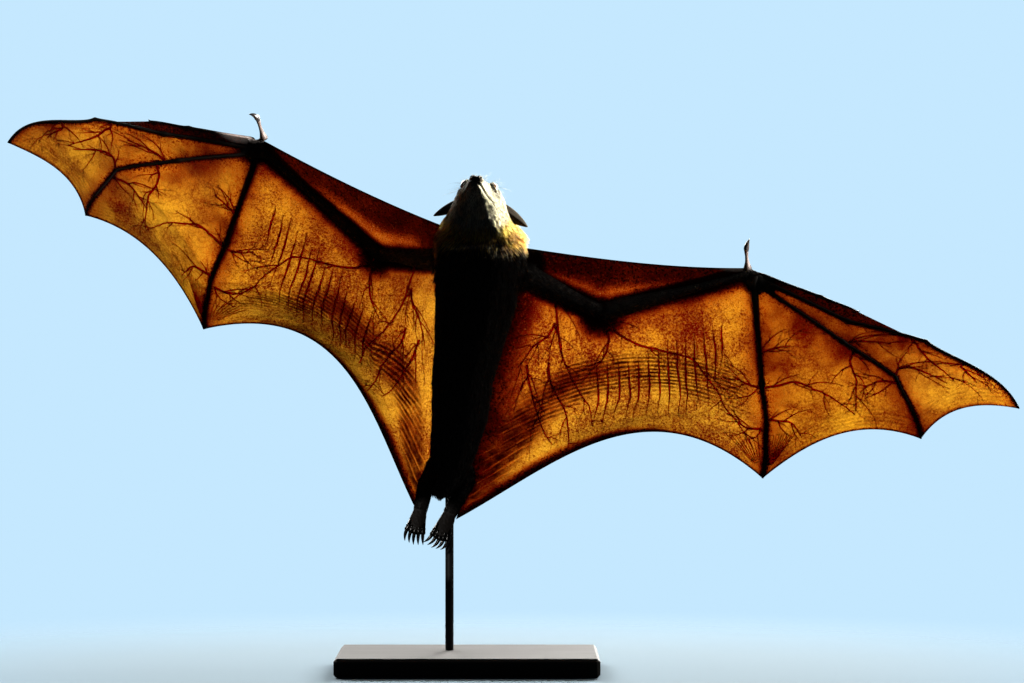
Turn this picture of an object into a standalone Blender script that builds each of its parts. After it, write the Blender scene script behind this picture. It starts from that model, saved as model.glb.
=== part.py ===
"""Grey-headed flying fox, life size, wings spread, on a plain display stand.

The belly faces -Y, the head is up (+Z) and the animal's left side is at +X.
The origin is the middle of the stand's underside.  Tables are in millimetres
and degrees; every mesh is built in metres.
"""
import math

import bmesh
import bpy
from mathutils import Matrix, Vector

MM = 0.001
GAP = 0.35 * MM                # air between two touching solids
SHARP = 50.0                   # edges that turn more than this stay sharp
SOLIDS = "flying_fox"
CUTTERS = "cutters"

# ---------------------------------------------------------------- skeleton
# A bone is (length, heading, rise, bow): heading turns from +X towards +Z,
# rise lifts towards the back (+Y), bow arches it towards the leading edge.
SHOULDER = {"left": (37, 2, 387), "right": (-14, 14, 393)}
ARM = {
    "left": ((106, -25.5, 20, 0), (158, 14, 12, 0)),
    "right": ((106, 174, 48, 0), (164, 139.2, 8, 0)),
}
# Where each finger starts, measured from the wrist joint.
FINGER_ROOT = {
    "left": {"thumb": (-5, 0, 5), "2": (11, 0, -2), "3": (11, 0, -8), "4": (8, 0, -13), "5": (1, 0, -15)},
    "right": {"thumb": (5, 0, 9), "2": (-6, 0, 8.5), "3": (-9, 0, -1), "4": (-7, 0, -7), "5": (-2, 0, -11)},
}
FINGER = {
    "left": {
        "2": ((60, -21, -4, 0), (36, -22, -4, 0.5)),
        "3": ((90, -26, -8, 0.5), (79, -14.4, -9, 1), (111, -36.6, -12, 9)),
        "4": ((97, -34.8, -14, 0.5), (63, -34.2, -12, 1), (65, -68.9, -14, 3)),
        "5": ((96, -86.2, -16, 0.5), (42, -84.1, -18, 0.5), (54, -95.5, -18, 1.5)),
    },
    "right": {
        "2": ((67, 171.3, -22, 0), (38, 171.3, -22, 0.5)),
        "3": ((92, 171.8, -27, 0.5), (76, 168.8, -32, 1), (102, 198.6, -38, 11.5)),
        "4": ((84, 187, -34, 0.5), (66, 190.4, -28, 1), (65, 240.9, -38, 3)),
        "5": ((100, 252.2, -26, 0.5), (43, 248.8, -22, 0.5), (53, 265.2, -30, 1.5)),
    },
}
THUMB = {
    "left": ((14, 98, -45, 0), (9, 96, -42, 0)),
    "right": ((15, 106, -45, 0), (9, 104, -42, 0)),
}
BOW_PEAK = 6.75                # makes the bow, share^2 * (1 - share), peak at 1
THUMB_STEPS = (3, 2)
THUMB_RADII = (3.4, 2.3, 1.8, 2.0, 1.9, 1.8)
THUMB_CLAW = 15.0
THUMB_CLAW_RADII = (1.9, 2.1, 1.8, 1.2, 0.5)
THUMB_CURL = (-0.5, -1, 0.6)   # where the thumb's claw ends up pointing
# Steps along each bone, shared by the finger and the membranes on it.
BONE_STEPS = (3, 2, 5)
ARM_STEPS = (3, 5)
# Radius at the root, each joint and the tip.
FINGER_RADIUS = {
    "2": (1.7, 1.5, 1.1),
    "3": (2.8, 2.1, 1.7, 0.8),
    "4": (2.4, 1.9, 1.5, 0.8),
    "5": (4.4, 2.4, 1.8, 0.9),
}
KNUCKLE = 1.15                 # how much a finger swells at a joint
FINGER_CLAW = 5.0
FINGER_CLAW_RADII = (1.0, 0.9, 0.7, 0.4)
FINGER_CLAW_TURN = (50, -30)   # turn from the finger's heading, and the rise
# Arm sections as (share of the bone, half width in the wing, half depth).
UPPER_ARM_RINGS = 4
FOREARM_RINGS = 6
UPPER_ARM = ((0.0, 15, 13), (0.3, 13.5, 12), (0.6, 11, 9.5), (0.85, 8.5, 8), (1.0, 9.5, 8))
FOREARM = (
    (0.0, 10.5, 8), (0.12, 11.5, 8.5), (0.3, 9.5, 7.5), (0.5, 6.6, 5.6), (0.75, 4.8, 4.4), (1.0, 5, 4.6),
)
WRIST_HALF = (14, 6, 15)       # lump that the fingers spring from
WRIST_SHIFT = {"left": (1, 0, -9), "right": (-1, 0, -5)}
WEB_START = 0.09               # share of the palm bone where each web begins

# -------------------------------------------------------------------- body
# Trunk and neck sections: middle (x, y, z), half width, depth in front and
# behind, and how far the section has turned from trunk to head.
TRUNK = (
    ((-27, 4, 164.5), 4, 4, 4, 0), ((-25.5, 4, 169.5), 10, 9, 9, 0), ((-21.5, 5, 179), 16, 13, 13, 0),
    ((-17.5, 6, 192), 20.5, 17, 17, 0), ((-13.5, 7, 211), 24.5, 21, 20, 0), ((-8, 8, 240), 28.5, 26, 24, 0),
    ((-5, 8, 278), 31.5, 30, 28, 0), ((2, 8, 316), 36, 34, 31, 0), ((8.5, 8, 355), 42, 37, 34, 0),
    ((11, 8, 383), 45, 38, 35, 0),
)
NECK = (((12, 6, 403), 44.5, 38, 34, 0.1), ((12, 3, 421), 42.5, 36, 31, 0.4))
HEAD_BASE = (10.3, -8, 434.8)  # midway between the ears
# Head sections: place along the muzzle line, middle height, half width,
# depth below and above.
HEAD = (
    (-13, 0, 37.5, 31, 25), (-4, 1, 32.5, 25, 24.5), (4, 2, 29, 20.5, 23), (13, 2, 25.6, 17.5, 20.5),
    (22, 1, 21.8, 15, 17.5), (30, 0, 17.6, 13, 14.5), (36.5, -1, 13.2, 11.2, 11.2), (43, -2, 10, 9.6, 8.4),
    (48.5, -2.5, 8.2, 8, 6.6), (52.5, -3, 6, 5.4, 4.8), (54.5, -3, 2.6, 2.4, 2.2),
)
TRUNK_ROLL = 10.0              # the belly turns a little to the animal's right
HEAD_LEFT = (0.980, -0.155, -0.121)    # towards the head's own left side
CROWN = (0.194, 0.675, 0.711)          # towards the top of the head
BODY_SIDES = 18
LIMB_SIDES = 10
LEG_SIDES = 8
SQUARENESS = 2.2               # power of the body's rounded sections
MOUTH = (27.5, -7.8)           # lips: rear end along the muzzle, height
MOUTH_ROOM = 90.0              # side of the block that parts jaw from skull
EYE = (30.5, 12.9, 8.0)        # along, out and up from HEAD_BASE
EYE_RADIUS = 5.7
NOSE_LOBE = (53.4, 3.1, -2.8)
NOSE_HALF = (3.6, 3.3, 3.0)    # out, up, along
EAR_ROOT = (4, 20, 9.5)
EAR_TIP = (-13, 46.5, 7.5)
EAR_HALF_WIDTH = 6.8
EAR_TIP_HALF = 0.5
EAR_TAPER = 2.2                # power: how late the ear narrows
EAR_BULGE = 0.2                # extra width towards the tip
EAR_CUP = 3.5
EAR_BEND = -1.0                # the tip's droop
EAR_THICK = 0.9
EAR_GRID = (6, 5)

# -------------------------------------------------------------------- legs
# Joints in order: hip, knee, ankle and the toes' ends.
LEG = {
    "left": ((-6, 7, 212), (1, 12, 184), (-17, 1, 151), (-28, -8, 125)),
    "right": ((-25, 9, 212), (-40, 16, 182), (-45.5, 6, 154), (-51.5, -1, 130.5)),
}
THIGH = ((0.0, 9.5, 9.5), (0.5, 9, 9), (1.0, 8, 8))
SHANK = ((0.0, 8.2, 7.8), (0.5, 8, 7.2), (1.0, 7, 5.6))
FOOT = ((0.0, 6.8, 5), (0.3, 7.8, 4.6), (0.65, 9, 3.8), (1.0, 8, 3))
SOLE_END = 0.85                # share of the way to the toe ends
THIGH_RINGS = 2
SHANK_RINGS = 2
FOOT_RINGS = 4
TOE_SPREAD = 16.0
TOE_CROWD = 0.7                # how close the toes start, against their spread
TOE_SHORTER = 6.0              # outer toes end this much before the middle one
TOE_ARCH = 1.2
TOE_RADII = (1.7, 1.9, 1.6)
TOE_START = 0.45
CLAW_LENGTH = 12.0
CLAW_CURL = {"left": (-1, 0, -0.45), "right": (0.1, 0, -1)}
CLAW_RADII = (1.5, 1.35, 1.1, 0.75, 0.4)

# --------------------------------------------------------------- membranes
MEMBRANE = 0.7
NECK_EDGE = {"left": (40, 2, 407), "right": (-17, 4, 423)}
WRIST_EDGE = {"left": (-4, 0, 5), "right": (4, 0, 7)}
HEEL = {"left": (-11.5, 2, 144.5), "right": (-52, 6, 158)}
# Free edges between two fixed ends: sag towards the middle of the wing, as a
# share of the length, at one and two thirds of the way.
LEADING_SAG = {"left": (0.016, 0.019), "right": (0.014, 0.013)}
TRAILING_SAG = {"left": (0.140, 0.196), "right": (0.162, 0.224)}
HAND_SAG = {
    "left": {"4_5": (0.125, 0.144), "3_4": (0.157, 0.14)},
    "right": {"4_5": (0.113, 0.127), "3_4": (0.147, 0.115)},
}
CAMBER = 7.0
FLANK_BACK = 15.0              # how far behind the belly the wing leaves the side
FLANK_REACH = 0.6              # share of the body's half width
PANEL_COLUMNS = {"4_5": 7, "3_4": 5, "2_3": 3}
ARM_HEM = (0.2, 0.4, 1.3)      # how far past the arm's axis the front web reaches
PROPATAGIUM_ROWS = 4

# ------------------------------------------------------------------- stand
BASE = (250, 190, 18)
BASE_BEVEL = 3.0
ROD_AT = (-18, 19)
ROD_RADIUS = 4.0
ROD_FOOT = 8.0                 # height of the rod's lower end
ROD_TOP = 262.0
ROD_SIDES = 20

COLOURS = {
    "coat": ((0.022, 0.014, 0.010), 0.8),
    "collar": ((0.42, 0.20, 0.05), 0.8),
    "face": ((0.40, 0.38, 0.32), 0.8),
    "skin": ((0.030, 0.020, 0.016), 0.5),
    "membrane": ((0.16, 0.055, 0.018), 0.45),
    "eye": ((0.05, 0.02, 0.01), 0.05),
    "claw": ((0.05, 0.045, 0.04), 0.3),
    "stand": ((0.03, 0.03, 0.03), 0.4),
}


# ------------------------------------------------------------ scene basics
def clear_scene():
    for old in list(bpy.data.objects):
        bpy.data.objects.remove(old, do_unlink=True)


def new_collection(name):
    collection = bpy.data.collections.new(name)
    bpy.context.scene.collection.children.link(collection)
    return collection


def make_material(name):
    colour, roughness = COLOURS[name]
    material = bpy.data.materials.new(name)
    material.use_nodes = True
    shader = material.node_tree.nodes["Principled BSDF"]
    shader.inputs["Base Color"].default_value = (*colour, 1.0)
    shader.inputs["Roughness"].default_value = roughness
    return material


def place(name, mesh, finish):
    """Put a mesh in the model as the named solid, with a material of its own."""
    solid = bpy.data.objects.new(name, mesh)
    mesh.materials.clear()
    mesh.materials.append(make_material(finish))
    bpy.data.collections[SOLIDS].objects.link(solid)
    return solid


def place_cutter(name, mesh):
    cutter = bpy.data.objects.new(name + "_cutter", mesh)
    cutter.hide_render = True
    cutter.display_type = "WIRE"
    bpy.data.collections[CUTTERS].objects.link(cutter)
    return cutter


def settle(solid):
    """Apply the modifiers and keep the largest piece, dropping offcuts."""
    graph = bpy.context.evaluated_depsgraph_get()
    mesh = bpy.data.meshes.new_from_object(solid.evaluated_get(graph))
    solid.modifiers.clear()
    solid.data = mesh
    shell = bmesh.new()
    shell.from_mesh(mesh)
    pieces = []
    left = set(shell.verts)
    while left:
        stack = [left.pop()]
        piece = set(stack)
        while stack:
            for edge in stack.pop().link_edges:
                for vert in edge.verts:
                    if vert not in piece:
                        piece.add(vert)
                        left.discard(vert)
                        stack.append(vert)
        pieces.append(piece)
    largest = max(pieces, key=len)
    bmesh.ops.delete(shell, geom=[v for v in shell.verts if v not in largest], context="VERTS")
    bmesh.ops.remove_doubles(shell, verts=shell.verts, dist=2e-6)
    bmesh.ops.triangulate(shell, faces=shell.faces)
    bmesh.ops.recalc_face_normals(shell, faces=shell.faces)
    shell.to_mesh(mesh)
    shell.free()
    return solid


def combine(solid, others, operation):
    for other in others:
        boolean = solid.modifiers.new(other.name, "BOOLEAN")
        boolean.operation = operation
        boolean.object = other
        boolean.solver = "EXACT"
    return settle(solid)


def cut(solid, cutters):
    return combine(solid, cutters, "DIFFERENCE")


# ------------------------------------------------------------------ curves
def metres(point):
    return Vector(point) * MM


def heading_vector(heading, rise):
    across = math.cos(math.radians(rise))
    turn = math.radians(heading)
    return Vector((across * math.cos(turn), math.sin(math.radians(rise)), across * math.sin(turn)))


def bone_chain(start, bones, steps, leading):
    """Points along linked bones; leading is +1 where a bow goes to heading + 90."""
    points = [start.copy()]
    for (length, heading, rise, bow), count in zip(bones, steps):
        root = points[-1].copy()
        span = heading_vector(heading, rise) * length * MM
        side = heading_vector(heading + 90 * leading, 0) * bow * MM
        for step in range(1, count + 1):
            share = step / count
            points.append(root + span * share + side * BOW_PEAK * share ** 2 * (1 - share))
    return points


def catmull(points, share):
    """A point on the smooth curve through the points, share running 0 to 1."""
    place_on = share * (len(points) - 1)
    first = min(int(place_on), len(points) - 2)
    t = place_on - first
    b = points[first]
    c = points[first + 1]
    a = points[first - 1] if first else b * 2 - c
    d = points[first + 2] if first + 2 < len(points) else c * 2 - b
    square = 2 * a - 5 * b + 4 * c - d
    cube = 3 * b - a - 3 * c + d
    return 0.5 * (2 * b + (c - a) * t + square * t ** 2 + cube * t ** 3)


def smooth(points, count):
    return [catmull(points, step / (count - 1)) for step in range(count)]


def sagging(start, end, sags, inward, count):
    """A free edge: a cubic that leaves the chord by the two sags, inward."""
    chord = end - start
    across = (inward - inward.project(chord)).normalized() * chord.length
    first = 3 * sags[0] - 1.5 * sags[1]
    second = 3 * sags[1] - 1.5 * sags[0]
    points = []
    for step in range(count):
        t = step / (count - 1)
        lift = 3 * t * (1 - t) ** 2 * first + 3 * t * t * (1 - t) * second
        points.append(start + chord * t + across * lift)
    return points


def table_at(table, share):
    """Linear reading of a table whose rows start with their share."""
    for low, high in zip(table, table[1:]):
        if share <= high[0]:
            part = (share - low[0]) / (high[0] - low[0])
            return [a + (b - a) * part for a, b in zip(low[1:], high[1:])]
    return list(table[-1][1:])


# ------------------------------------------------------------------ meshes
def mesh_of(name, vertices, faces):
    mesh = bpy.data.meshes.new(name)
    mesh.from_pydata(vertices, [], faces)
    shell = bmesh.new()
    shell.from_mesh(mesh)
    bmesh.ops.triangulate(shell, faces=shell.faces)
    bmesh.ops.recalc_face_normals(shell, faces=shell.faces)
    shell.to_mesh(mesh)
    shell.free()
    return mesh


def loft(name, rings):
    """A closed skin over rings of equal count, with flat ends."""
    sides = len(rings[0])
    vertices = [point for ring in rings for point in ring]
    faces = [tuple(range(sides)), tuple(range(len(vertices) - sides, len(vertices)))]
    for row in range(len(rings) - 1):
        for side in range(sides):
            a = row * sides + side
            b = row * sides + (side + 1) % sides
            faces.append((a, b, b + sides, a + sides))
    return mesh_of(name, vertices, faces)


def oval(middle, across, deep, half_width, front, back, sides, power=2.0):
    """A ring: across and deep are unit vectors, front and back its depths."""
    ring = []
    for side in range(sides):
        turn = 2 * math.pi * side / sides
        c = math.cos(turn)
        s = math.sin(turn)
        reach = (abs(c) ** power + abs(s) ** power) ** (-1 / power)
        depth = back if s > 0 else front
        ring.append(middle + across * half_width * c * reach + deep * depth * s * reach)
    return ring


def limb(name, start, end, table, steps, sides=LIMB_SIDES, grow=0.0):
    """A straight tapering limb, wide in the plane of the wing."""
    along = (end - start).normalized()
    across = along.cross(Vector((0, 1, 0))).normalized()
    deep = across.cross(along).normalized()
    rings = []
    for step in range(steps + 1):
        share = step / steps
        half, depth = table_at(table, share)
        middle = start.lerp(end, share)
        if step == 0:
            middle = middle - along * grow
        if step == steps:
            middle = middle + along * grow
        wide = half * MM + grow
        thick = depth * MM + grow
        rings.append(oval(middle, across, deep, wide, thick, thick, sides))
    return loft(name, rings)


def tube(name, points, radii, resolution, grow=0.0):
    """A tapering round tube: a poly curve with a bevel, turned into a mesh."""
    curve = bpy.data.curves.new(name + "_curve", "CURVE")
    curve.dimensions = "3D"
    curve.bevel_depth = 1.0
    curve.bevel_resolution = resolution
    curve.use_fill_caps = True
    spline = curve.splines.new("POLY")
    spline.points.add(len(points) - 1)
    for index, point in enumerate(points):
        if index == 0:
            point = point - (points[1] - point).normalized() * grow
        if index == len(points) - 1:
            point = point + (point - points[-2]).normalized() * grow
        spline.points[index].co = (*point, 1.0)
        spline.points[index].radius = radii[index] + grow
    holder = bpy.data.objects.new(name + "_curve", curve)
    bpy.context.scene.collection.objects.link(holder)
    graph = bpy.context.evaluated_depsgraph_get()
    mesh = bpy.data.meshes.new_from_object(holder.evaluated_get(graph))
    bpy.data.objects.remove(holder, do_unlink=True)
    bpy.data.curves.remove(curve)
    shell = bmesh.new()
    shell.from_mesh(mesh)
    bmesh.ops.remove_doubles(shell, verts=shell.verts, dist=1e-6)
    bmesh.ops.recalc_face_normals(shell, faces=shell.faces)
    shell.to_mesh(mesh)
    shell.free()
    return mesh


def ball(name, matrix, half, across=10, down=7, grow=0.0):
    """An ellipsoid with the given half sizes, in the frame of the matrix."""
    mesh = bpy.data.meshes.new(name)
    shell = bmesh.new()
    bmesh.ops.create_uvsphere(shell, u_segments=across, v_segments=down, radius=1.0)
    scale = Matrix.Diagonal((*(size * MM + grow for size in half), 1.0))
    bmesh.ops.transform(shell, matrix=matrix @ scale, verts=shell.verts)
    shell.to_mesh(mesh)
    shell.free()
    return mesh


def block(name, matrix, size):
    mesh = bpy.data.meshes.new(name)
    shell = bmesh.new()
    bmesh.ops.create_cube(shell, size=1.0)
    scale = Matrix.Diagonal((*(side * MM for side in size), 1.0))
    bmesh.ops.transform(shell, matrix=matrix @ scale, verts=shell.verts)
    shell.to_mesh(mesh)
    shell.free()
    return mesh


def sheet(name, top, bottom, start, end, camber, finish="membrane"):
    """A Coons patch between four edges, given a thickness.

    top and bottom run from start to end; camber lifts its middle backwards.
    """
    columns = len(top)
    rows = len(start)
    vertices = []
    for row in range(rows):
        v = row / (rows - 1)
        for column in range(columns):
            u = column / (columns - 1)
            point = top[column] * (1 - v) + bottom[column] * v + start[row] * (1 - u) + end[row] * u
            point = point - (top[0] * (1 - u) + top[-1] * u) * (1 - v)
            point = point - (bottom[0] * (1 - u) + bottom[-1] * u) * v
            point.y += camber * MM * 16 * u * (1 - u) * v * (1 - v)
            vertices.append(point)
    faces = []
    for row in range(rows - 1):
        for column in range(columns - 1):
            a = row * columns + column
            faces.append((a, a + 1, a + columns + 1, a + columns))
    solid = place(name, mesh_of(name, vertices, faces), finish)
    thick = solid.modifiers.new("thickness", "SOLIDIFY")
    thick.thickness = MEMBRANE * MM
    thick.offset = 0.0
    return settle(solid)


# -------------------------------------------------------------------- body
def frame_of(across, deep):
    across = Vector(across).normalized()
    deep = (Vector(deep) - Vector(deep).project(across)).normalized()
    return Matrix((across, deep, across.cross(deep))).transposed()


def head_frame():
    return frame_of(HEAD_LEFT, CROWN)


def head_point(along, out, up):
    turned = head_frame() @ Vector((out, up, along))
    return (Vector(HEAD_BASE) + turned) * MM


def head_matrix(along, out, up):
    """A frame at a point of the head: X to its left, Y to the crown, Z to the muzzle."""
    return Matrix.Translation(head_point(along, out, up)) @ head_frame().to_4x4()


def turned_section(section, grow):
    middle, half_width, front, back, share = section
    roll = math.radians(-TRUNK_ROLL)
    trunk = frame_of((math.cos(roll), math.sin(roll), 0), (-math.sin(roll), math.cos(roll), 0))
    turn = trunk.to_quaternion().slerp(head_frame().to_quaternion(), share).to_matrix()
    sizes = [size * MM + grow for size in (half_width, front, back)]
    return oval(metres(middle), turn.col[0], turn.col[1], *sizes, BODY_SIDES, SQUARENESS)


def head_section(section, grow):
    along, height, half_width, below, above = section
    frame = head_frame()
    sizes = [size * MM + grow for size in (half_width, below, above)]
    return oval(head_point(along, 0, height), frame.col[0], frame.col[1], *sizes, BODY_SIDES, SQUARENESS)


def slid(ring, other, distance):
    """The ring moved a set distance towards the next ring."""
    middle = sum(ring, Vector()) / len(ring)
    span = (sum(other, Vector()) / len(other) - middle).length
    return [point.lerp(target, distance / span) for point, target in zip(ring, other)]


def body_rings(grow=0.0):
    trunk = [turned_section(section, grow) for section in TRUNK]
    neck = [turned_section(section, grow) for section in NECK]
    head = [head_section(section, grow) for section in HEAD]
    return trunk, neck, head


def body_cutters():
    """The trunk, neck and head, each a little larger, to trim what meets them."""
    trunk, neck, head = body_rings(GAP)
    return {
        "trunk": place_cutter("trunk", loft("trunk_cutter", trunk + neck[:1])),
        "neck": place_cutter("neck", loft("neck_cutter", trunk[-1:] + neck + head[:1])),
        "head": place_cutter("head", loft("head_cutter", neck[-1:] + head)),
    }


def build_head():
    head = body_rings()[2]
    skull = place("head", loft("head", [slid(head[0], head[1], GAP)] + head[1:]), "face")
    jaw = place("lower_jaw", loft("lower_jaw", head[1:]), "face")
    reach = MOUTH_ROOM
    rear, lips = MOUTH
    air = GAP / MM
    region = head_matrix(rear + reach / 2, 0, lips - reach / 2)
    inner = head_matrix(rear + air + reach / 2, 0, lips - air - reach / 2)
    jaw_room = place_cutter("jaw_room", block("jaw_room", region, (reach, reach, reach)))
    jaw_keep = place_cutter("jaw_keep", block("jaw_keep", inner, (reach, reach, reach)))
    combine(jaw, [jaw_keep], "INTERSECT")
    hollows = [jaw_room]
    for side, sign in (("left", 1), ("right", -1)):
        socket = head_matrix(EYE[0], EYE[1] * sign, EYE[2])
        size = (EYE_RADIUS,) * 3
        place("eye_" + side, ball("eye", socket, size), "eye")
        hollows.append(place_cutter("eye_" + side, ball("eye_room", socket, size, grow=GAP)))
    lobes = []
    rooms = []
    for sign in (1, -1):
        spot = head_matrix(NOSE_LOBE[0], NOSE_LOBE[1] * sign, NOSE_LOBE[2])
        lobes.append(ball("lobe", spot, NOSE_HALF, 8, 6))
        rooms.append(place_cutter("nose", ball("nose_room", spot, NOSE_HALF, 8, 6, GAP)))
    nose = place("nose", lobes[0], "skin")
    other = place_cutter("nose_lobe", lobes[1])
    combine(nose, [other], "UNION")
    cut(skull, hollows + rooms)
    cut(jaw, rooms)


def build_ear(side, sign, cutters):
    root = head_point(EAR_ROOT[0], EAR_ROOT[1] * sign, EAR_ROOT[2])
    tip = head_point(EAR_TIP[0], EAR_TIP[1] * sign, EAR_TIP[2])
    along = (tip - root).normalized()
    across = (Vector((0, 0, 1)) - Vector((0, 0, 1)).project(along)).normalized()
    facing = along.cross(across).normalized() * -sign
    rows, columns = EAR_GRID
    vertices = []
    for row in range(rows):
        share = row / (rows - 1)
        half = EAR_HALF_WIDTH * (1 - share ** EAR_TAPER) * (1 + EAR_BULGE * share) + EAR_TIP_HALF
        for column in range(columns):
            side_share = 2 * column / (columns - 1) - 1
            hollow = EAR_CUP * MM * (1 - side_share ** 2) * (1 - share) ** 0.5
            bend = EAR_BEND * MM * share ** 2
            aside = across * (half * MM * side_share + bend)
            vertices.append(root.lerp(tip, share) + aside - facing * hollow)
    faces = []
    for row in range(rows - 1):
        for column in range(columns - 1):
            a = row * columns + column
            faces.append((a, a + 1, a + columns + 1, a + columns))
    name = "ear_" + side
    ear = place(name, mesh_of(name, vertices, faces), "skin")
    thick = ear.modifiers.new("thickness", "SOLIDIFY")
    thick.thickness = EAR_THICK * MM
    thick.offset = 0.0
    cut(ear, [cutters["head"], cutters["neck"]])


def build_body():
    cutters = body_cutters()
    trunk, neck, head = body_rings()
    socket = place_cutter("rod", rod_mesh("rod_room", GAP))
    cut(place("trunk", loft("trunk", trunk), "coat"), [socket])
    place("neck", loft("neck", [slid(trunk[-1], neck[0], GAP)] + neck + head[:1]), "collar")
    build_head()
    for side, sign in (("left", 1), ("right", -1)):
        build_ear(side, sign, cutters)
    return cutters


# -------------------------------------------------------------------- wing
def finger_radii(digit, steps):
    """Radius at each point, with a small knob at each joint."""
    marks = FINGER_RADIUS[digit]
    radii = [marks[0] * MM]
    for bone, count in enumerate(steps):
        for step in range(1, count + 1):
            share = step / count
            knob = KNUCKLE if step == count and bone < len(steps) - 1 else 1.0
            radii.append((marks[bone] + (marks[bone + 1] - marks[bone]) * share) * MM * knob)
    return radii


class Wing:
    """The bones of one wing as lists of points."""

    def __init__(self, side, leading):
        self.side = side
        self.leading = leading
        self.shoulder = metres(SHOULDER[side])
        self.arm = bone_chain(self.shoulder, ARM[side], ARM_STEPS, leading)
        self.elbow = self.arm[ARM_STEPS[0]]
        self.wrist = self.arm[-1]
        self.fingers = {}
        self.radii = {}
        for digit, bones in FINGER[side].items():
            steps = BONE_STEPS[:len(bones)]
            root = self.wrist + metres(FINGER_ROOT[side][digit])
            self.fingers[digit] = bone_chain(root, bones, steps, leading)
            self.radii[digit] = finger_radii(digit, steps)

    def name(self, part):
        return part + "_" + self.side


def build_claw(name, tip, before, length, curl, radii, resolution=1):
    """A curved claw that carries on from a toe's or thumb's end."""
    ahead = (tip - before).normalized()
    joints = len(radii) - 1
    points = [tip + ahead * GAP]
    for step in range(joints):
        direction = ahead.lerp(curl.normalized(), step / (joints - 1)).normalized()
        points.append(points[-1] + direction * length / joints)
    place(name, tube(name, points, radii, resolution), "claw")


def build_thumb(wing, fore_room):
    root = wing.wrist + metres(FINGER_ROOT[wing.side]["thumb"])
    points = bone_chain(root, THUMB[wing.side], THUMB_STEPS, wing.leading)
    radii = [r * MM for r in THUMB_RADII]
    thumb = place(wing.name("thumb"), tube("thumb", points, radii, 1), "skin")
    curl = Vector(THUMB_CURL)
    claw_radii = [r * MM for r in THUMB_CLAW_RADII]
    build_claw(wing.name("thumb_claw"), points[-1], points[-2], THUMB_CLAW * MM, curl, claw_radii)
    cut(thumb, [fore_room])
    return place_cutter("thumb", tube("thumb_room", points, radii, 1, GAP))


def build_arm(wing, cutters):
    shoulder, elbow, wrist = wing.shoulder, wing.elbow, wing.wrist
    upper = place(
        wing.name("upper_arm"), limb("upper_arm", shoulder, elbow, UPPER_ARM, UPPER_ARM_RINGS), "coat")
    upper_room = place_cutter(
        "upper_arm", limb("upper_arm_room", shoulder, elbow, UPPER_ARM, UPPER_ARM_RINGS, grow=GAP))
    fore = place(wing.name("forearm"), limb("forearm", elbow, wrist, FOREARM, FOREARM_RINGS), "skin")
    fore_room = place_cutter(
        "forearm", limb("forearm_room", elbow, wrist, FOREARM, FOREARM_RINGS, grow=GAP))
    cut(upper, [cutters["trunk"], cutters["neck"]])
    cut(fore, [upper_room])
    return upper_room, fore_room


def build_hand(wing, fore_room):
    rooms = {}
    for digit, points in wing.fingers.items():
        name = wing.name("digit_" + digit)
        radii = wing.radii[digit]
        place(name, tube(name, points, radii, 1), "skin")
        rooms[digit] = place_cutter("digit_" + digit, tube("finger_room", points, radii, 1, GAP))
    second = wing.fingers["2"]
    claw_radii = [r * MM for r in FINGER_CLAW_RADII]
    turn, rise = FINGER_CLAW_TURN
    curl = heading_vector(FINGER[wing.side]["2"][-1][1] + turn * wing.leading, rise)
    build_claw(wing.name("digit_2_claw"), second[-1], second[-2], FINGER_CLAW * MM, curl, claw_radii)
    thumb_room = build_thumb(wing, fore_room)
    middle = Matrix.Translation(wing.wrist + metres(WRIST_SHIFT[wing.side]))
    wrist = place(wing.name("wrist"), ball("wrist", middle, WRIST_HALF, 10, 6), "skin")
    wrist_room = place_cutter("wrist", ball("wrist_room", middle, WRIST_HALF, 10, 6, GAP))
    cut(wrist, [fore_room, thumb_room] + list(rooms.values()))
    return wrist_room, thumb_room


def flank(side, sign):
    """Where the arm wing leaves the body: down the side, then the leg."""
    points = [metres(SHOULDER[side])]
    for section in reversed(TRUNK[5:9]):
        (x, y, z), half_width = section[:2]
        points.append(metres((x + sign * FLANK_REACH * half_width, FLANK_BACK, z)))
    hip, knee = LEG[side][:2]
    points += [metres(hip), metres(knee), metres(HEEL[side])]
    return points


def moved_aside(points, others, radii):
    """A web's edge along a finger: its axis moved towards the others, just clear of it."""
    moved = []
    for index, other in enumerate(others):
        ahead = points[min(index + 1, len(points) - 1)] - points[max(index - 1, 0)]
        aside = other - points[index]
        aside = (aside - aside.project(ahead)).normalized()
        moved.append(points[index] + aside * (radii[index] + GAP))
    return moved


def beside(wing, digit, others):
    return moved_aside(wing.fingers[digit], others, wing.radii[digit])


def shortened(edge):
    """The edge without its first stretch, where the fingers crowd together."""
    return [edge[0].lerp(edge[1], WEB_START * BONE_STEPS[0])] + edge[1:]


def lerp_line(start, end, count):
    return [start.lerp(end, step / (count - 1)) for step in range(count)]


def build_propatagium(wing, cutters, arm_rooms, wrist_room, thumb_room):
    start = metres(NECK_EDGE[wing.side])
    end = wing.wrist + metres(WRIST_EDGE[wing.side])
    edge = sagging(start, end, LEADING_SAG[wing.side], Vector((0, 0, -1)), len(wing.arm))
    arm = [point + metres(ARM_HEM) for point in wing.arm]
    inner = lerp_line(edge[0], arm[0], PROPATAGIUM_ROWS)
    outer = lerp_line(edge[-1], arm[-1], PROPATAGIUM_ROWS)
    web = sheet(wing.name("propatagium"), edge, arm, inner, outer, -CAMBER / 2)
    cut(web, [cutters["trunk"], cutters["neck"], *arm_rooms, wrist_room, thumb_room])


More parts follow.
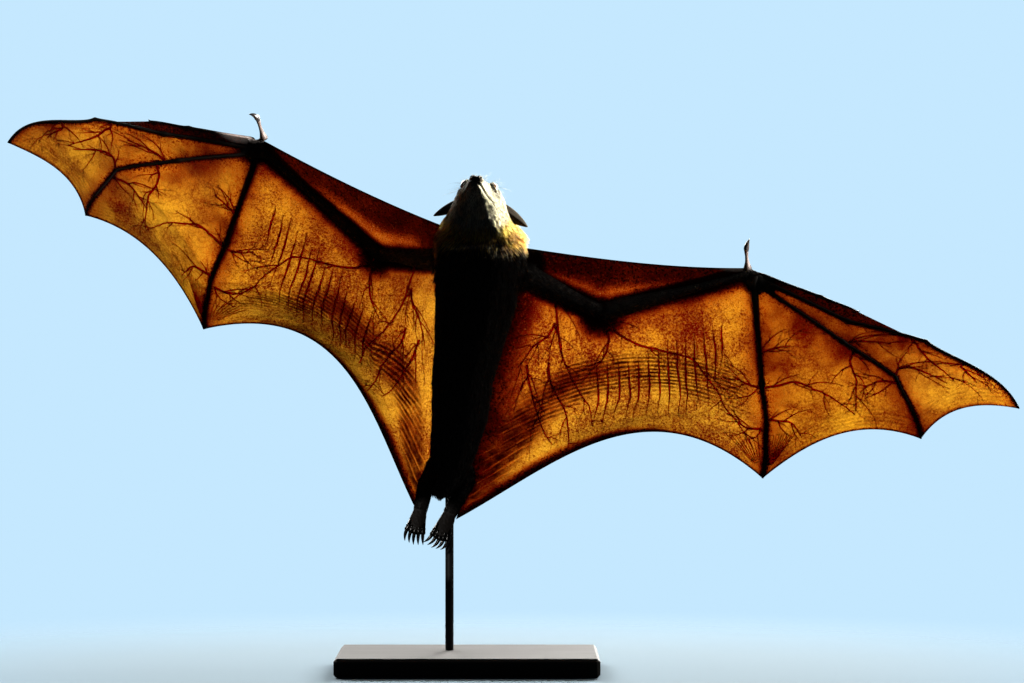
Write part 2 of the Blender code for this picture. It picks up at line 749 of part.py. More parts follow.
def build_plagiopatagium(wing, sign, cutters, arm_rooms, leg_rooms, wrist_room):
    body_side = smooth(flank(wing.side, sign), len(wing.fingers["5"]))
    finger = beside(wing, "5", body_side)
    trailing = sagging(
        body_side[-1], finger[-1], TRAILING_SAG[wing.side], Vector((0, 0, 1)), len(wing.arm))
    top = [body_side[0]] + [point - metres(ARM_HEM) for point in wing.arm[1:-1]] + [finger[0]]
    web = sheet(wing.name("plagiopatagium"), top, trailing, body_side, finger, CAMBER)
    cut(web, [cutters["trunk"], cutters["neck"], *arm_rooms, wrist_room, *leg_rooms])


def build_panel(wing, near, far, wrist_room):
    """The web between two long fingers, with its sagging free edge."""
    pair = far + "_" + near
    columns = PANEL_COLUMNS[pair]
    first = shortened(beside(wing, near, wing.fingers[far]))
    second = shortened(beside(wing, far, wing.fingers[near]))
    inward = first[0] - (first[-1] + second[-1]) / 2
    free = sagging(first[-1], second[-1], HAND_SAG[wing.side][pair], inward, columns)
    top = lerp_line(first[0], second[0], columns)
    web = sheet(wing.name("panel_" + pair), top, free, first, second, CAMBER / 2)
    cut(web, [wrist_room])


def build_tip_web(wing, wrist_room):
    """The narrow web between fingers 2 and 3, which ends partway along a bone."""
    count = BONE_STEPS[0] + 3
    short = smooth(wing.fingers["2"], count)
    third = beside(wing, "3", short)
    third[-1] = third[-2].lerp(third[-1], 0.5)
    widest = FINGER_RADIUS["2"][0] * MM
    second = moved_aside(short, third, [widest] * count)
    second[-1] = second[-1].lerp(second[-2], WEB_START * 2)
    third = shortened(third)
    second = shortened(second)
    columns = PANEL_COLUMNS["2_3"]
    top = lerp_line(third[0], second[0], columns)
    free = lerp_line(third[-1], second[-1], columns)
    cut(sheet(wing.name("panel_2_3"), top, free, third, second, 0), [wrist_room])


def build_membranes(wing, sign, cutters, arm_rooms, leg_rooms, wrist_room, thumb_room):
    build_propatagium(wing, cutters, arm_rooms, wrist_room, thumb_room)
    build_plagiopatagium(wing, sign, cutters, arm_rooms, leg_rooms, wrist_room)
    build_panel(wing, "5", "4", wrist_room)
    build_panel(wing, "4", "3", wrist_room)
    build_tip_web(wing, wrist_room)


def build_wing(side, sign, cutters, leg_rooms):
    wing = Wing(side, sign)
    arm_rooms = build_arm(wing, cutters)
    wrist_room, thumb_room = build_hand(wing, arm_rooms[1])
    build_membranes(wing, sign, cutters, arm_rooms, leg_rooms, wrist_room, thumb_room)


# --------------------------------------------------------------------- leg
def build_leg(side, cutters):
    hip, knee, ankle, toes = (metres(joint) for joint in LEG[side])
    sole = ankle.lerp(toes, SOLE_END)
    solids = []
    rooms = []
    for part, start, end, table, steps, finish in (
            ("thigh", hip, knee, THIGH, THIGH_RINGS, "coat"),
            ("shank", knee, ankle, SHANK, SHANK_RINGS, "coat"),
            ("foot", ankle, sole, FOOT, FOOT_RINGS, "skin")):
        solids.append(place(part + "_" + side, limb(part, start, end, table, steps, LEG_SIDES), finish))
        room = limb(part + "_room", start, end, table, steps, LEG_SIDES, GAP)
        rooms.append(place_cutter(part, room))
    thigh, shank, foot = solids
    along = (toes - ankle).normalized()
    across = along.cross(Vector((0, 1, 0))).normalized()
    toe_meshes = []
    for toe in range(5):
        offset = (toe - 2) / 4
        end = toes + (across * offset * TOE_SPREAD - along * TOE_SHORTER * abs(offset)) * MM
        start = ankle.lerp(toes, TOE_START) + across * offset * TOE_SPREAD * TOE_CROWD * MM
        points = [start, start.lerp(end, 0.5) - Vector((0, TOE_ARCH * MM, 0)), end]
        radii = [r * MM for r in TOE_RADII]
        toe_meshes.append(place_cutter("toe", tube("toe", points, radii, 1)))
        curl = Vector(CLAW_CURL[side])
        radii = [r * MM for r in CLAW_RADII]
        claw = "toe_claw_{}_{}".format(toe + 1, side)
        build_claw(claw, points[-1], points[-2], CLAW_LENGTH * MM, curl, radii, resolution=0)
    combine(foot, toe_meshes, "UNION")
    cut(foot, [rooms[1]])
    cut(shank, [rooms[0], cutters["trunk"]])
    cut(thigh, [cutters["trunk"]])
    return rooms


# ------------------------------------------------------------------- stand
def rod_mesh(name, grow=0.0):
    mesh = bpy.data.meshes.new(name)
    shell = bmesh.new()
    radius = ROD_RADIUS * MM + grow
    height = (ROD_TOP - ROD_FOOT) * MM + 2 * grow
    bmesh.ops.create_cone(
        shell, cap_ends=True, segments=ROD_SIDES, radius1=radius, radius2=radius, depth=height)
    middle = Vector((*ROD_AT, (ROD_TOP + ROD_FOOT) / 2)) * MM
    bmesh.ops.translate(shell, vec=middle, verts=shell.verts)
    shell.to_mesh(mesh)
    shell.free()
    return mesh


def build_stand():
    width, depth, height = BASE
    middle = Matrix.Translation((0, 0, height / 2 * MM))
    base = place("stand_base", block("stand_base", middle, BASE), "stand")
    bevel = base.modifiers.new("edges", "BEVEL")
    bevel.width = BASE_BEVEL * MM
    bevel.segments = 1
    settle(base)
    place("stand_rod", rod_mesh("stand_rod"), "stand")
    cut(base, [place_cutter("base_rod", rod_mesh("base_rod_room", GAP))])


def shade(solid):
    solid.data.shade_smooth()
    solid.data.set_sharp_from_angle(angle=math.radians(SHARP))


def main():
    clear_scene()
    new_collection(SOLIDS)
    new_collection(CUTTERS)
    build_stand()
    cutters = build_body()
    for side, sign in (("left", 1), ("right", -1)):
        leg_rooms = build_leg(side, cutters)
        build_wing(side, sign, cutters, leg_rooms)
    for solid in bpy.data.collections[SOLIDS].objects:
        shade(solid)


main()
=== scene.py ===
"""Grey-headed flying fox on a display stand: skin, coat, wings and materials.

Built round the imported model, in its frame: the belly faces -Y, the head is up
and the animal's left is at +X.  Tables are in millimetres and degrees.
"""

import math

import bmesh
import bpy
import numpy as np
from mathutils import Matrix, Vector, kdtree


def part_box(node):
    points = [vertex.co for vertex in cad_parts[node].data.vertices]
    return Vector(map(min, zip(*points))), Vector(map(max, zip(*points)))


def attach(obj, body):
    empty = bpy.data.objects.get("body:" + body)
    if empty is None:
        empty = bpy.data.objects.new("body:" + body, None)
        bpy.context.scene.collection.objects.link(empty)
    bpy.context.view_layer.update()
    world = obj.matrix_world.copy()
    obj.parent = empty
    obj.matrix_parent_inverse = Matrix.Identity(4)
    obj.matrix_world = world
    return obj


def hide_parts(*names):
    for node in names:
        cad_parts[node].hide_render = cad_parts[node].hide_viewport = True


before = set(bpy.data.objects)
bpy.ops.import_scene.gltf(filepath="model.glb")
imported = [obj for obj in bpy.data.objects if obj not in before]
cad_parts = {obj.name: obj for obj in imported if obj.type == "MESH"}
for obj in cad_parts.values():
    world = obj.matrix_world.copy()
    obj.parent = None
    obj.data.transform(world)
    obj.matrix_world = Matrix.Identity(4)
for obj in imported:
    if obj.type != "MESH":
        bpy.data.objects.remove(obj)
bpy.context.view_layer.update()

MM = 0.001
SIDES = (("left", 1), ("right", -1))

# ----------------------------------------------------- skeleton, as in the CAD
SHOULDER = {"left": (37, 2, 387), "right": (-14, 14, 393)}
ARM = {
    "left": ((106, -25.5, 20, 0), (158, 14, 12, 0)),
    "right": ((106, 174, 48, 0), (164, 139.2, 8, 0)),
}
FINGER_ROOT = {
    "left": {"thumb": (-5, 0, 5), "2": (11, 0, -2), "3": (11, 0, -8), "4": (8, 0, -13), "5": (1, 0, -15)},
    "right": {"thumb": (5, 0, 9), "2": (-6, 0, 8.5), "3": (-9, 0, -1), "4": (-7, 0, -7), "5": (-2, 0, -11)},
}
FINGER = {
    "left": {
        "2": ((60, -21, -4, 0), (36, -22, -4, 0.5)),
        "3": ((90, -26, -8, 0.5), (79, -14.4, -9, 1), (111, -36.6, -12, 9)),
        "4": ((97, -34.8, -14, 0.5), (63, -34.2, -12, 1), (65, -68.9, -14, 3)),
        "5": ((96, -86.2, -16, 0.5), (42, -84.1, -18, 0.5), (54, -95.5, -18, 1.5)),
    },
    "right": {
        "2": ((67, 171.3, -22, 0), (38, 171.3, -22, 0.5)),
        "3": ((92, 171.8, -27, 0.5), (76, 168.8, -32, 1), (102, 198.6, -38, 11.5)),
        "4": ((84, 187, -34, 0.5), (66, 190.4, -28, 1), (65, 240.9, -38, 3)),
        "5": ((100, 252.2, -26, 0.5), (43, 248.8, -22, 0.5), (53, 265.2, -30, 1.5)),
    },
}
THUMB = {
    "left": ((14, 98, -45, 0), (9, 96, -42, 0)),
    "right": ((15, 106, -45, 0), (9, 104, -42, 0)),
}
THUMB_RADII = (4.2, 3.2, 2.3, 1.8, 1.6, 1.6, 1.9, 2.1)
THUMB_CLAW = 15.0
THUMB_CLAW_RADII = (2.0, 2.7, 2.3, 1.5, 0.3)
THUMB_CURL = {"left": (0.5, -0.5, 1.0), "right": (-1.0, -0.6, 0.0)}
BOW_PEAK = 6.75
ROOT_SWELL = 1.4               # a finger's first radius inside the wrist, over the one at its root
KNUCKLE_SWELL = 0.60           # how much wider a finger's joints are than its bones
KNUCKLE_REACH = 3.2
BONE_STEPS = (30, 20, 50)
ARM_STEPS = (60, 100)
ELBOW = slice(ARM_STEPS[0], ARM_STEPS[0] + 1)
FINGER_RADIUS = {
    "2": (1.7, 1.5, 1.1),
    "3": (2.8, 2.1, 1.7, 0.8),
    "4": (2.4, 1.9, 1.5, 0.8),
    "5": (4.4, 2.4, 1.8, 0.9),
}
WRIST_EDGE = {"left": (-4, 0, 5), "right": (4, 0, 7)}
NECK_EDGE = {"left": (40, 2, 407), "right": (-17, 4, 423)}
HEEL = {"left": (-11.5, 2, 144.5), "right": (-52, 6, 158)}
FLANK = {
    "left": ((33.7, 15, 355), (23.6, 15, 316), (13.9, 15, 278), (9.1, 15, 240)),
    "right": ((-16.7, 15, 355), (-19.6, 15, 316), (-23.9, 15, 278), (-25.1, 15, 240)),
}
LEADING_SAG = {"left": (0.016, 0.019), "right": (0.014, 0.013)}
TRAILING_SAG = {"left": (0.140, 0.196), "right": (0.162, 0.224)}
HAND_SAG = {
    "left": {"4_5": (0.125, 0.144), "3_4": (0.157, 0.14)},
    "right": {"4_5": (0.113, 0.127), "3_4": (0.147, 0.115)},
}
CAMBER = 7.0
FOLDS = {                      # share of the free edge, distance from it and half width of the folds
    "left": ((0, 9, 7), (0.05, 15, 10), (0.2, 33, 20), (0.38, 57, 18), (0.5, 67, 17),
             (0.62, 67, 18), (0.75, 65, 24), (1, 56, 28)),
    "right": ((0, 8, 6), (0.1, 17, 9), (0.2, 26, 11), (0.36, 46, 11), (0.44, 52, 12), (0.62, 57, 14),
              (0.69, 53, 18), (0.75, 42, 13), (0.85, 28, 10), (1, 8, 6)),
}
SMUDGE = {"left": (0.42, 0.13, 0.45), "right": (0.61, 0.10, 0.34)}
COARSE_FOLDS = {"left": (0.22, 0.42), "right": (0.12, 0.28)}
FOLD_SHADE = {"left": 0.38, "right": 0.22}
# Reach in mm of the darker web beside the flank: dark skin close to the body, widened on the left by painted
# shadow of the body.
BODY_SHADE = {"left": (7, 48), "right": (3, 9)}
SHOULDER_SHADE = {"left": (30, 62), "right": (16, 48)}
WRIST_SHADE = (26, 26, 34, 52, 60)
FLANK_SMOOTHING = 350
LEG = {
    "left": ((-6, 7, 212), (1, 12, 184), (-17, 1, 151), (-28, -8, 125)),
    "right": ((-25, 9, 212), (-40, 16, 182), (-45.5, 6, 154), (-51.5, -1, 130.5)),
}
TOE_SPREAD = 16.0
TOE_START = 0.45
TOE_POINTS = 22
TOE_KNUCKLES = ((0, 0.25, 0.45, 0.55, 0.65, 0.85, 1), (2.2, 2.3, 2.3, 2.8, 2.4, 2.7, 2.3))
SOLE_RADII = ((0, 0.25, 0.5, 0.85, 1), (6.6, 6.6, 7.8, 9.6, 8.4))
CLAW_LENGTH = 11.0
CLAW_RADII = (1.7, 1.7, 1.4, 0.9, 0.2)
FINGER_CLAW_LENGTH = 5.0
FINGER_CLAW_RADII = (1.0, 0.9, 0.7, 0.15)
CLAW_CURL = {"left": (-1, 0, -0.45), "right": (0.1, 0, -1)}

HEAD_BASE = (10.3, -8, 434.8)
HEAD_LEFT = (0.980, -0.155, -0.121)
CROWN = (0.194, 0.675, 0.711)
EYE = (30.5, 11.9, 8.2)
EYE_RADIUS = 5.7
EYE_AXIS = (0.86, 0.40, 0.42)  # the way the left eye looks: out, up and along
LID_HALF_WIDTH = 5.0
LID_HALF_HEIGHT = 4.3
LID_REACH = 5.95               # distance of the lids from the eye's middle
MOUTH = (27.5, -7.8)
NOSE_LOBE = (53.4, 2.9, -2.8)
EAR_ROOT = (4, 20, 9.5)
EAR_TIP = (-13, 46.5, 7.5)
EAR_HALF_WIDTH = {"left": 6.0, "right": 5.0}

# ---------------------------------------------------------- grain of the meshes
SKIN_VOXEL = 1.0
NOSE_VOXEL = 0.36
WING_THICK = 0.5
BONE_SLEEVE = 0.55             # how much thicker each side of a web is at a bone
TUFT_PATCH = 0.003             # size of a tuft's patch on the unwrap


# ---------------------------------------------------------------- vector work
def metres(point):
    return np.array(point, float) * MM


def unit(vectors):
    vectors = np.asarray(vectors, float)
    return vectors / np.maximum(np.linalg.norm(vectors, axis=-1, keepdims=True), 1e-12)


def heading_vector(heading, rise):
    across = math.cos(math.radians(rise))
    turn = math.radians(heading)
    return np.array((across * math.cos(turn), math.sin(math.radians(rise)), across * math.sin(turn)))


def bone_chain(start, bones, steps, leading):
    """Points along a chain of bones, each given as length, heading, rise and bow."""
    points = [np.array(start, float)]
    for (length, heading, rise, bow), count in zip(bones, steps):
        root = points[-1]
        span = heading_vector(heading, rise) * length * MM
        side = heading_vector(heading + 90 * leading, 0) * bow * MM
        for step in range(1, count + 1):
            share = step / count
            points.append(root + span * share + side * BOW_PEAK * share ** 2 * (1 - share))
    return np.array(points)


def catmull(points, shares):
    points = np.asarray(points, float)
    padded = np.vstack([2 * points[0] - points[1], points, 2 * points[-1] - points[-2]])
    places = np.clip(shares, 0, 1) * (len(points) - 1)
    first = np.minimum(places.astype(int), len(points) - 2)
    t = (places - first)[:, None]
    a, b, c, d = (padded[first + k] for k in range(4))
    return 0.5 * (2 * b + (c - a) * t + (2 * a - 5 * b + 4 * c - d) * t ** 2
                  + (3 * b - a - 3 * c + d) * t ** 3)


def walked(line):
    """Distance along a line to each of its points."""
    return np.concatenate([[0], np.cumsum(np.linalg.norm(np.diff(line, axis=0), axis=1))])


def resampled(points, count):
    """The same polyline with evenly spaced points."""
    points = np.asarray(points, float)
    marks = walked(points)
    wanted = np.linspace(0, marks[-1], count)
    return np.stack([np.interp(wanted, marks, points[:, k]) for k in range(3)], axis=1)


def sagging(start, end, sags, inward, count):
    """A free edge: a chord that sags inward by two shares of its length."""
    chord = end - start
    across = inward - chord * (inward @ chord) / (chord @ chord)
    across = unit(across) * np.linalg.norm(chord)
    first = 3 * sags[0] - 1.5 * sags[1]
    second = 3 * sags[1] - 1.5 * sags[0]
    t = np.linspace(0, 1, count)[:, None]
    return start + chord * t + across * (3 * t * (1 - t) ** 2 * first + 3 * t * t * (1 - t) * second)


def ramp(values, marks, levels):
    return np.interp(values, marks, levels)


def fade(values, start, end):
    """0 before start, 1 after end, smooth between."""
    t = np.clip((np.asarray(values) - start) / (end - start), 0, 1)
    return t * t * (3 - 2 * t)


def waves(points, scale, seed, count=7):
    """Cheap smooth noise from -1 to 1: a few plane waves with set random directions."""
    random = np.random.default_rng(seed)
    total = np.zeros(len(points))
    for _ in range(count):
        direction = unit(random.normal(size=3)) * random.uniform(0.6, 1.6) * 2 * math.pi / scale
        total += np.sin(points @ direction + random.uniform(0, 2 * math.pi))
    return total / math.sqrt(count)


# ---------------------------------------------------------------- mesh making
def link(name, mesh, material=None):
    piece = bpy.data.objects.new(name, mesh)
    bpy.context.scene.collection.objects.link(piece)
    if material:
        mesh.materials.append(material)
    return piece


def mesh_from(name, vertices, faces):
    """A mesh from arrays; all faces have the same number of corners."""
    faces = np.asarray(faces, np.int32)
    corners = faces.shape[1]
    mesh = bpy.data.meshes.new(name)
    mesh.vertices.add(len(vertices))
    mesh.vertices.foreach_set("co", np.asarray(vertices, np.float32).ravel())
    mesh.loops.add(faces.size)
    mesh.loops.foreach_set("vertex_index", faces.ravel())
    mesh.polygons.add(len(faces))
    mesh.polygons.foreach_set("loop_start", np.arange(0, faces.size, corners, dtype=np.int32))
    mesh.polygons.foreach_set("use_smooth", np.full(len(faces), True))
    mesh.update(calc_edges=True)
    mesh.validate()
    return mesh


def mesh_of(name, shell):
    """A mesh from a bmesh, which is freed."""
    mesh = bpy.data.meshes.new(name)
    shell.to_mesh(mesh)
    shell.free()
    return mesh


def read(items, kind, width, number=np.int32):
    """One property of all items of a mesh, as rows of a table."""
    values = np.empty(len(items) * width, number)
    items.foreach_get(kind, values)
    return values.reshape(-1, width)


def coordinates(mesh):
    return read(mesh.vertices, "co", 3, np.float32).astype(float)


def normals(mesh):
    return read(mesh.vertex_normals, "vector", 3, np.float32).astype(float)


def set_coordinates(mesh, values):
    mesh.vertices.foreach_set("co", np.asarray(values, np.float32).ravel())
    mesh.update()


def add_values(mesh, name, values):
    attribute = mesh.attributes.new(name, "FLOAT", "POINT")
    attribute.data.foreach_set("value", np.asarray(values, np.float32))


def add_colours(mesh, name, colours):
    attribute = mesh.attributes.new(name, "FLOAT_COLOR", "POINT")
    full = np.ones((len(colours), 4), np.float32)
    full[:, :3] = colours
    attribute.data.foreach_set("color", full.ravel())


def add_map(mesh, name, places):
    """A UV map from one place for each vertex."""
    corner = read(mesh.loops, "vertex_index", 1)[:, 0]
    layer = mesh.uv_layers.new(name=name)
    layer.data.foreach_set("uv", np.asarray(places, np.float32)[corner].ravel())


def evaluated(piece):
    graph = bpy.context.evaluated_depsgraph_get()
    mesh = bpy.data.meshes.new_from_object(piece.evaluated_get(graph))
    bpy.data.objects.remove(piece, do_unlink=True)
    return mesh


def remeshed(mesh, voxel):
    piece = link("remesh", mesh)
    remesh = piece.modifiers.new("remesh", "REMESH")
    remesh.mode = "VOXEL"
    remesh.voxel_size = voxel * MM
    return evaluated(piece)


def neighbour_mean(mesh):
    """A function that gives each vertex the mean of a value over its neighbours."""
    first, second = read(mesh.edges, "vertices", 2).T
    count = len(mesh.vertices)
    degree = np.maximum(np.bincount(first, minlength=count) + np.bincount(second, minlength=count), 1)

    def mean(values):
        return (np.bincount(first, values[second], count)
                + np.bincount(second, values[first], count)) / degree

    return mean


def relaxed(mesh, rounds, share=1.0):
    """Smoothing that keeps volume: a shrinking step, then a growing one."""
    mean = neighbour_mean(mesh)
    places = coordinates(mesh)
    for _ in range(rounds):
        for step in (0.55, -0.57):
            for axis in range(3):
                column = places[:, axis]
                places[:, axis] = column + (mean(column) - column) * step * share
    set_coordinates(mesh, places)


def spread(mesh, values, rounds):
    """A value for each vertex, or a row of them, blurred over its neighbours."""
    if values.ndim == 2:
        return np.stack([spread(mesh, column, rounds) for column in values.T], axis=1)
    mean = neighbour_mean(mesh)
    for _ in range(rounds):
        values = 0.5 * values + 0.5 * mean(values)
    return values


def joined(name, meshes):
    """Several meshes, with their materials, as one mesh."""
    pieces = [link(name, mesh) for mesh in meshes]
    with bpy.context.temp_override(
            active_object=pieces[0], object=pieces[0], selected_objects=pieces,
            selected_editable_objects=pieces):
        bpy.ops.object.join()
    mesh = pieces[0].data
    bpy.data.objects.remove(pieces[0], do_unlink=True)
    return mesh


def facing_out(mesh):
    shell = bmesh.new()
    shell.from_mesh(mesh)
    bmesh.ops.recalc_face_normals(shell, faces=shell.faces)
    shell.to_mesh(mesh)
    shell.free()
    return mesh


def sheet_mesh(name, middle, offset, shape):
    """A closed sheet round a grid of middle points, offset to both sides."""
    count = len(middle)
    index = np.arange(count).reshape(shape)
    corners = (index[:-1, :-1], index[:-1, 1:], index[1:, 1:], index[1:, :-1])
    front = np.stack([corner.ravel() for corner in corners], axis=1)
    rim = np.concatenate([index[0, :], index[1:, -1], index[-1, -2::-1], index[-2:0:-1, 0]])
    after = np.roll(rim, -1)
    sides = np.stack([after, rim, rim + count, after + count], axis=1)
    vertices = np.vstack([middle + offset, middle - offset])
    return facing_out(mesh_from(name, vertices, np.vstack([front, front[:, ::-1] + count, sides])))


def frames_along(points, up):
    """Two directions across a line at each of its points."""
    ahead = unit(np.gradient(points, axis=0))
    side = unit(np.cross(ahead, np.array(up, float)))
    return side, unit(np.cross(side, ahead))


def tube_arrays(points, radii, sides, flat=1.0, up=(0, 1, 0)):
    """A closed tapering tube, as arrays of vertices and triangles."""
    points = np.asarray(points, float)
    radii = np.asarray(radii, float)
    side, rise = frames_along(points, up)
    turns = np.linspace(0, 2 * math.pi, sides, endpoint=False)
    circle = (side[:, None] * np.cos(turns)[None, :, None]
              + rise[:, None] * np.sin(turns)[None, :, None] * flat)
    rings = points[:, None] + circle * radii[:, None, None]
    count = len(points)
    vertices = np.vstack([rings.reshape(-1, 3), points[:1], points[-1:]])
    row = np.arange(sides)
    after = (row + 1) % sides
    faces = []
    for k in range(count - 1):
        a, b = k * sides + row, k * sides + after
        faces.append(np.stack([a, a + sides, b], 1))
        faces.append(np.stack([b, a + sides, b + sides], 1))
    start, end = count * sides, count * sides + 1
    last = (count - 1) * sides
    faces.append(np.stack([np.full(sides, start), row, after], 1))
    faces.append(np.stack([np.full(sides, end), last + after, last + row], 1))
    return vertices, np.vstack(faces)


def stacked(parts):
    """Arrays of vertices and faces, put together."""
    vertices, faces, start = [], [], 0
    for points, corners in parts:
        vertices.append(points)
        faces.append(corners + start)
        start += len(points)
    return np.vstack(vertices), np.vstack(faces)


# ----------------------------------------------------------------- node graphs
class Graph:
    """A material's nodes, made with short calls."""

    def __init__(self, name):
        self.material = bpy.data.materials.new(name)
        self.material.use_nodes = True
        self.tree = self.material.node_tree
        self.tree.nodes.clear()
        self.output = self.tree.nodes.new("ShaderNodeOutputMaterial")

    def add(self, kind, inputs=None, **settings):
        node = self.tree.nodes.new("ShaderNode" + kind)
        for key, value in settings.items():
            setattr(node, key, value)
        for key, value in (inputs or {}).items():
            socket = node.inputs[key]
            if isinstance(value, bpy.types.NodeSocket):
                self.tree.links.new(value, socket)
            else:
                socket.default_value = value
        return node

    def place(self):
        return self.add("TexCoord").outputs["Object"]

    def map(self, name):
        return self.add("UVMap", uv_map=name).outputs[0]

    def value(self, name):
        return self.add("Attribute", attribute_name=name).outputs["Fac"]

    def colour(self, name):
        return self.add("Attribute", attribute_name=name).outputs["Color"]

    def noise(self, where, scale, detail=3.0, rough=0.55, warp=0.0):
        inputs = {"Vector": where, "Scale": scale, "Detail": detail, "Roughness": rough, "Distortion": warp}
        return self.add("TexNoise", inputs).outputs["Fac"]

    def cells(self, where, scale, feature="F1", random=1.0):
        inputs = {"Vector": where, "Scale": scale, "Randomness": random}
        return self.add("TexVoronoi", inputs, feature=feature).outputs["Distance"]

    def wave(self, where, scale, direction="X", warp=0.0, detail=1.5, fine=1.0):
        inputs = {"Vector": where, "Scale": scale, "Distortion": warp, "Detail": detail,
                  "Detail Scale": fine}
        return self.add("TexWave", inputs, bands_direction=direction).outputs["Fac"]

    def maths(self, operation, a, b, clamp=False):
        return self.add("Math", {0: a, 1: b}, operation=operation, use_clamp=clamp).outputs[0]

    def times(self, a, b, clamp=False):
        return self.maths("MULTIPLY", a, b, clamp)

    def plus(self, a, b, clamp=False):
        return self.maths("ADD", a, b, clamp)

    def centred(self, value):
        return self.maths("SUBTRACT", value, 0.5)

    def remap(self, value, low, high, to_low=0.0, to_high=1.0):
        inputs = {"Value": value, "From Min": low, "From Max": high, "To Min": to_low, "To Max": to_high}
        return self.add("MapRange", inputs).outputs[0]

    def mix(self, share, a, b, blend="MIX"):
        node = self.add("Mix", data_type="RGBA", blend_type=blend)
        for index, value in ((0, share), (6, a), (7, b)):
            if isinstance(value, bpy.types.NodeSocket):
                self.tree.links.new(value, node.inputs[index])
            else:
                node.inputs[index].default_value = value if index == 0 else (*value, 1.0)
        return node.outputs[2]

    def bump(self, height, strength, distance, normal=None):
        inputs = {"Height": height, "Strength": strength, "Distance": distance}
        if normal:
            inputs["Normal"] = normal
        return self.add("Bump", inputs).outputs[0]

    def principled(self, colour, rough, normal=None, **extra):
        inputs = {"Base Color": colour if isinstance(colour, bpy.types.NodeSocket) else (*colour, 1.0),
                  "Roughness": rough}
        if normal:
            inputs["Normal"] = normal
        inputs.update({key.replace("_", " "): value for key, value in extra.items()})
        return self.add("BsdfPrincipled", inputs).outputs[0]

    def blend(self, share, first, second):
        return self.add("MixShader", {0: share, 1: first, 2: second}).outputs[0]

    def glowing(self, share, body, **inputs):
        """Ends the material with a share of light that comes through from behind."""
        glow = self.add("BsdfTranslucent", inputs).outputs[0]
        return self.finish(self.blend(share, body, glow))

    def finish(self, shader):
        self.tree.links.new(shader, self.output.inputs["Surface"])
        return self.material


# ------------------------------------------------------------------- finishes
DARK_FUR = (0.020, 0.013, 0.010)
ARM_FUR = (0.022, 0.013, 0.009)
RUSSET = (0.48, 0.22, 0.050)
GOLD = (0.94, 0.73, 0.18)
FACE_GREY = (0.42, 0.40, 0.34)
CREAM = (0.74, 0.71, 0.60)
MUZZLE_DARK = (0.10, 0.085, 0.075)
# Bare skin: its darkest and its lightest blotches.
DIGIT_SKIN = ((0.012, 0.008, 0.006), (0.036, 0.020, 0.014))
TOE_SKIN = ((0.002, 0.0018, 0.0016), (0.006, 0.0045, 0.004))
EAR_SKIN = ((0.008, 0.005, 0.004), (0.024, 0.014, 0.010))
NOSE_SKIN = ((0.016, 0.012, 0.011), (0.055, 0.040, 0.036))
VEIN_SKIN = ((0.040, 0.007, 0.004), (0.070, 0.012, 0.007))
VEIN_LIGHT = ((0.68, 0.06, 0.025), (0.84, 0.10, 0.045))
HORN = ((0.004, 0.0035, 0.0035), (0.016, 0.013, 0.012))
IRIS = ((0.045, 0.017, 0.006), (0.15, 0.060, 0.018))
IRIS_RIM = (0.018, 0.010, 0.008)
PUPIL = (0.003, 0.003, 0.003)
BASE_LACQUER = (0.016, 0.014, 0.013)
ROD_LACQUER = (0.020, 0.020, 0.021)
FLOOR_PALE = (0.42, 0.58, 0.70)
# The wing's skin: the colours of the light that comes through, then those of its front.
WEB_GLOW = 0.84                # share of the light that comes through
WEB_DARK = (0.29, 0.010, 0.003)
WEB_BRIGHT = (0.96, 0.635, 0.115)
WEB_PALE = (0.98, 0.67, 0.14)
WEB_PATCH = (0.46, 0.12, 0.018)
WEB_LIGHT_SPOT = (1.0, 0.78, 0.32)
WEB_DARK_SPOT = (0.25, 0.010, 0.003)
WEB_VESSEL = (0.22, 0.010, 0.003)
WEB_RED_DARK = (0.13, 0.004, 0.002)
WEB_RED = (0.55, 0.115, 0.018)
WEB_FOLD = (0.080, 0.006, 0.003)
# Near-black web where the skin is thick, and where shadow is painted on it beside the body and bones.
WEB_DENSE_AND_SHADED = (0.016, 0.004, 0.003)
WEB_FRONT_DARK = (0.045, 0.013, 0.004)
WEB_FRONT = (0.115, 0.048, 0.013)
WEB_FRONT_DENSE_AND_SHADED = (0.016, 0.009, 0.006)


def fur_material(name):
    g = Graph(name)
    colour = g.colour("coat_colour")
    patch = g.noise(g.place(), 900.0, 2.0)
    shade = g.mix(1.0, colour, g.mix(patch, (0.62, 0.62, 0.62), (1.35, 1.35, 1.35)), "MULTIPLY")
    body = g.principled(shade, 0.62, Specular_IOR_Level=0.25, Sheen_Weight=0.25, Sheen_Roughness=0.5)
    return g.glowing(0.28, body, Color=shade)


def skin_material():
    g = Graph("hide")
    where = g.place()
    colour = g.mix(0.35, g.colour("coat_colour"), (0.016, 0.011, 0.009))
    fine = g.noise(where, 1400.0, 4.0)
    folds = g.cells(where, 420.0)
    tone = g.mix(fine, colour, (0.008, 0.006, 0.005))
    height = g.plus(fine, folds)
    normal = g.bump(height, 0.5, 0.0006)
    return g.finish(g.principled(tone, g.remap(fine, 0.2, 0.8, 0.42, 0.7), normal))


def leather_material(name, dark, light, rough, shine=0.35, relief=0.30):
    """Bare wrinkled skin of fingers, feet, ears and nose."""
    g = Graph(name)
    where = g.place()
    grain = g.cells(where, 1300.0)
    blotch = g.noise(where, 160.0, 4.0)
    colour = g.mix(blotch, dark, light)
    height = g.plus(grain, g.noise(where, 700.0, 3.0))
    normal = g.bump(height, relief, 0.0004)
    return g.finish(g.principled(colour, g.remap(blotch, 0.3, 0.7, rough, rough + 0.18), normal,
                                 Specular_IOR_Level=shine))


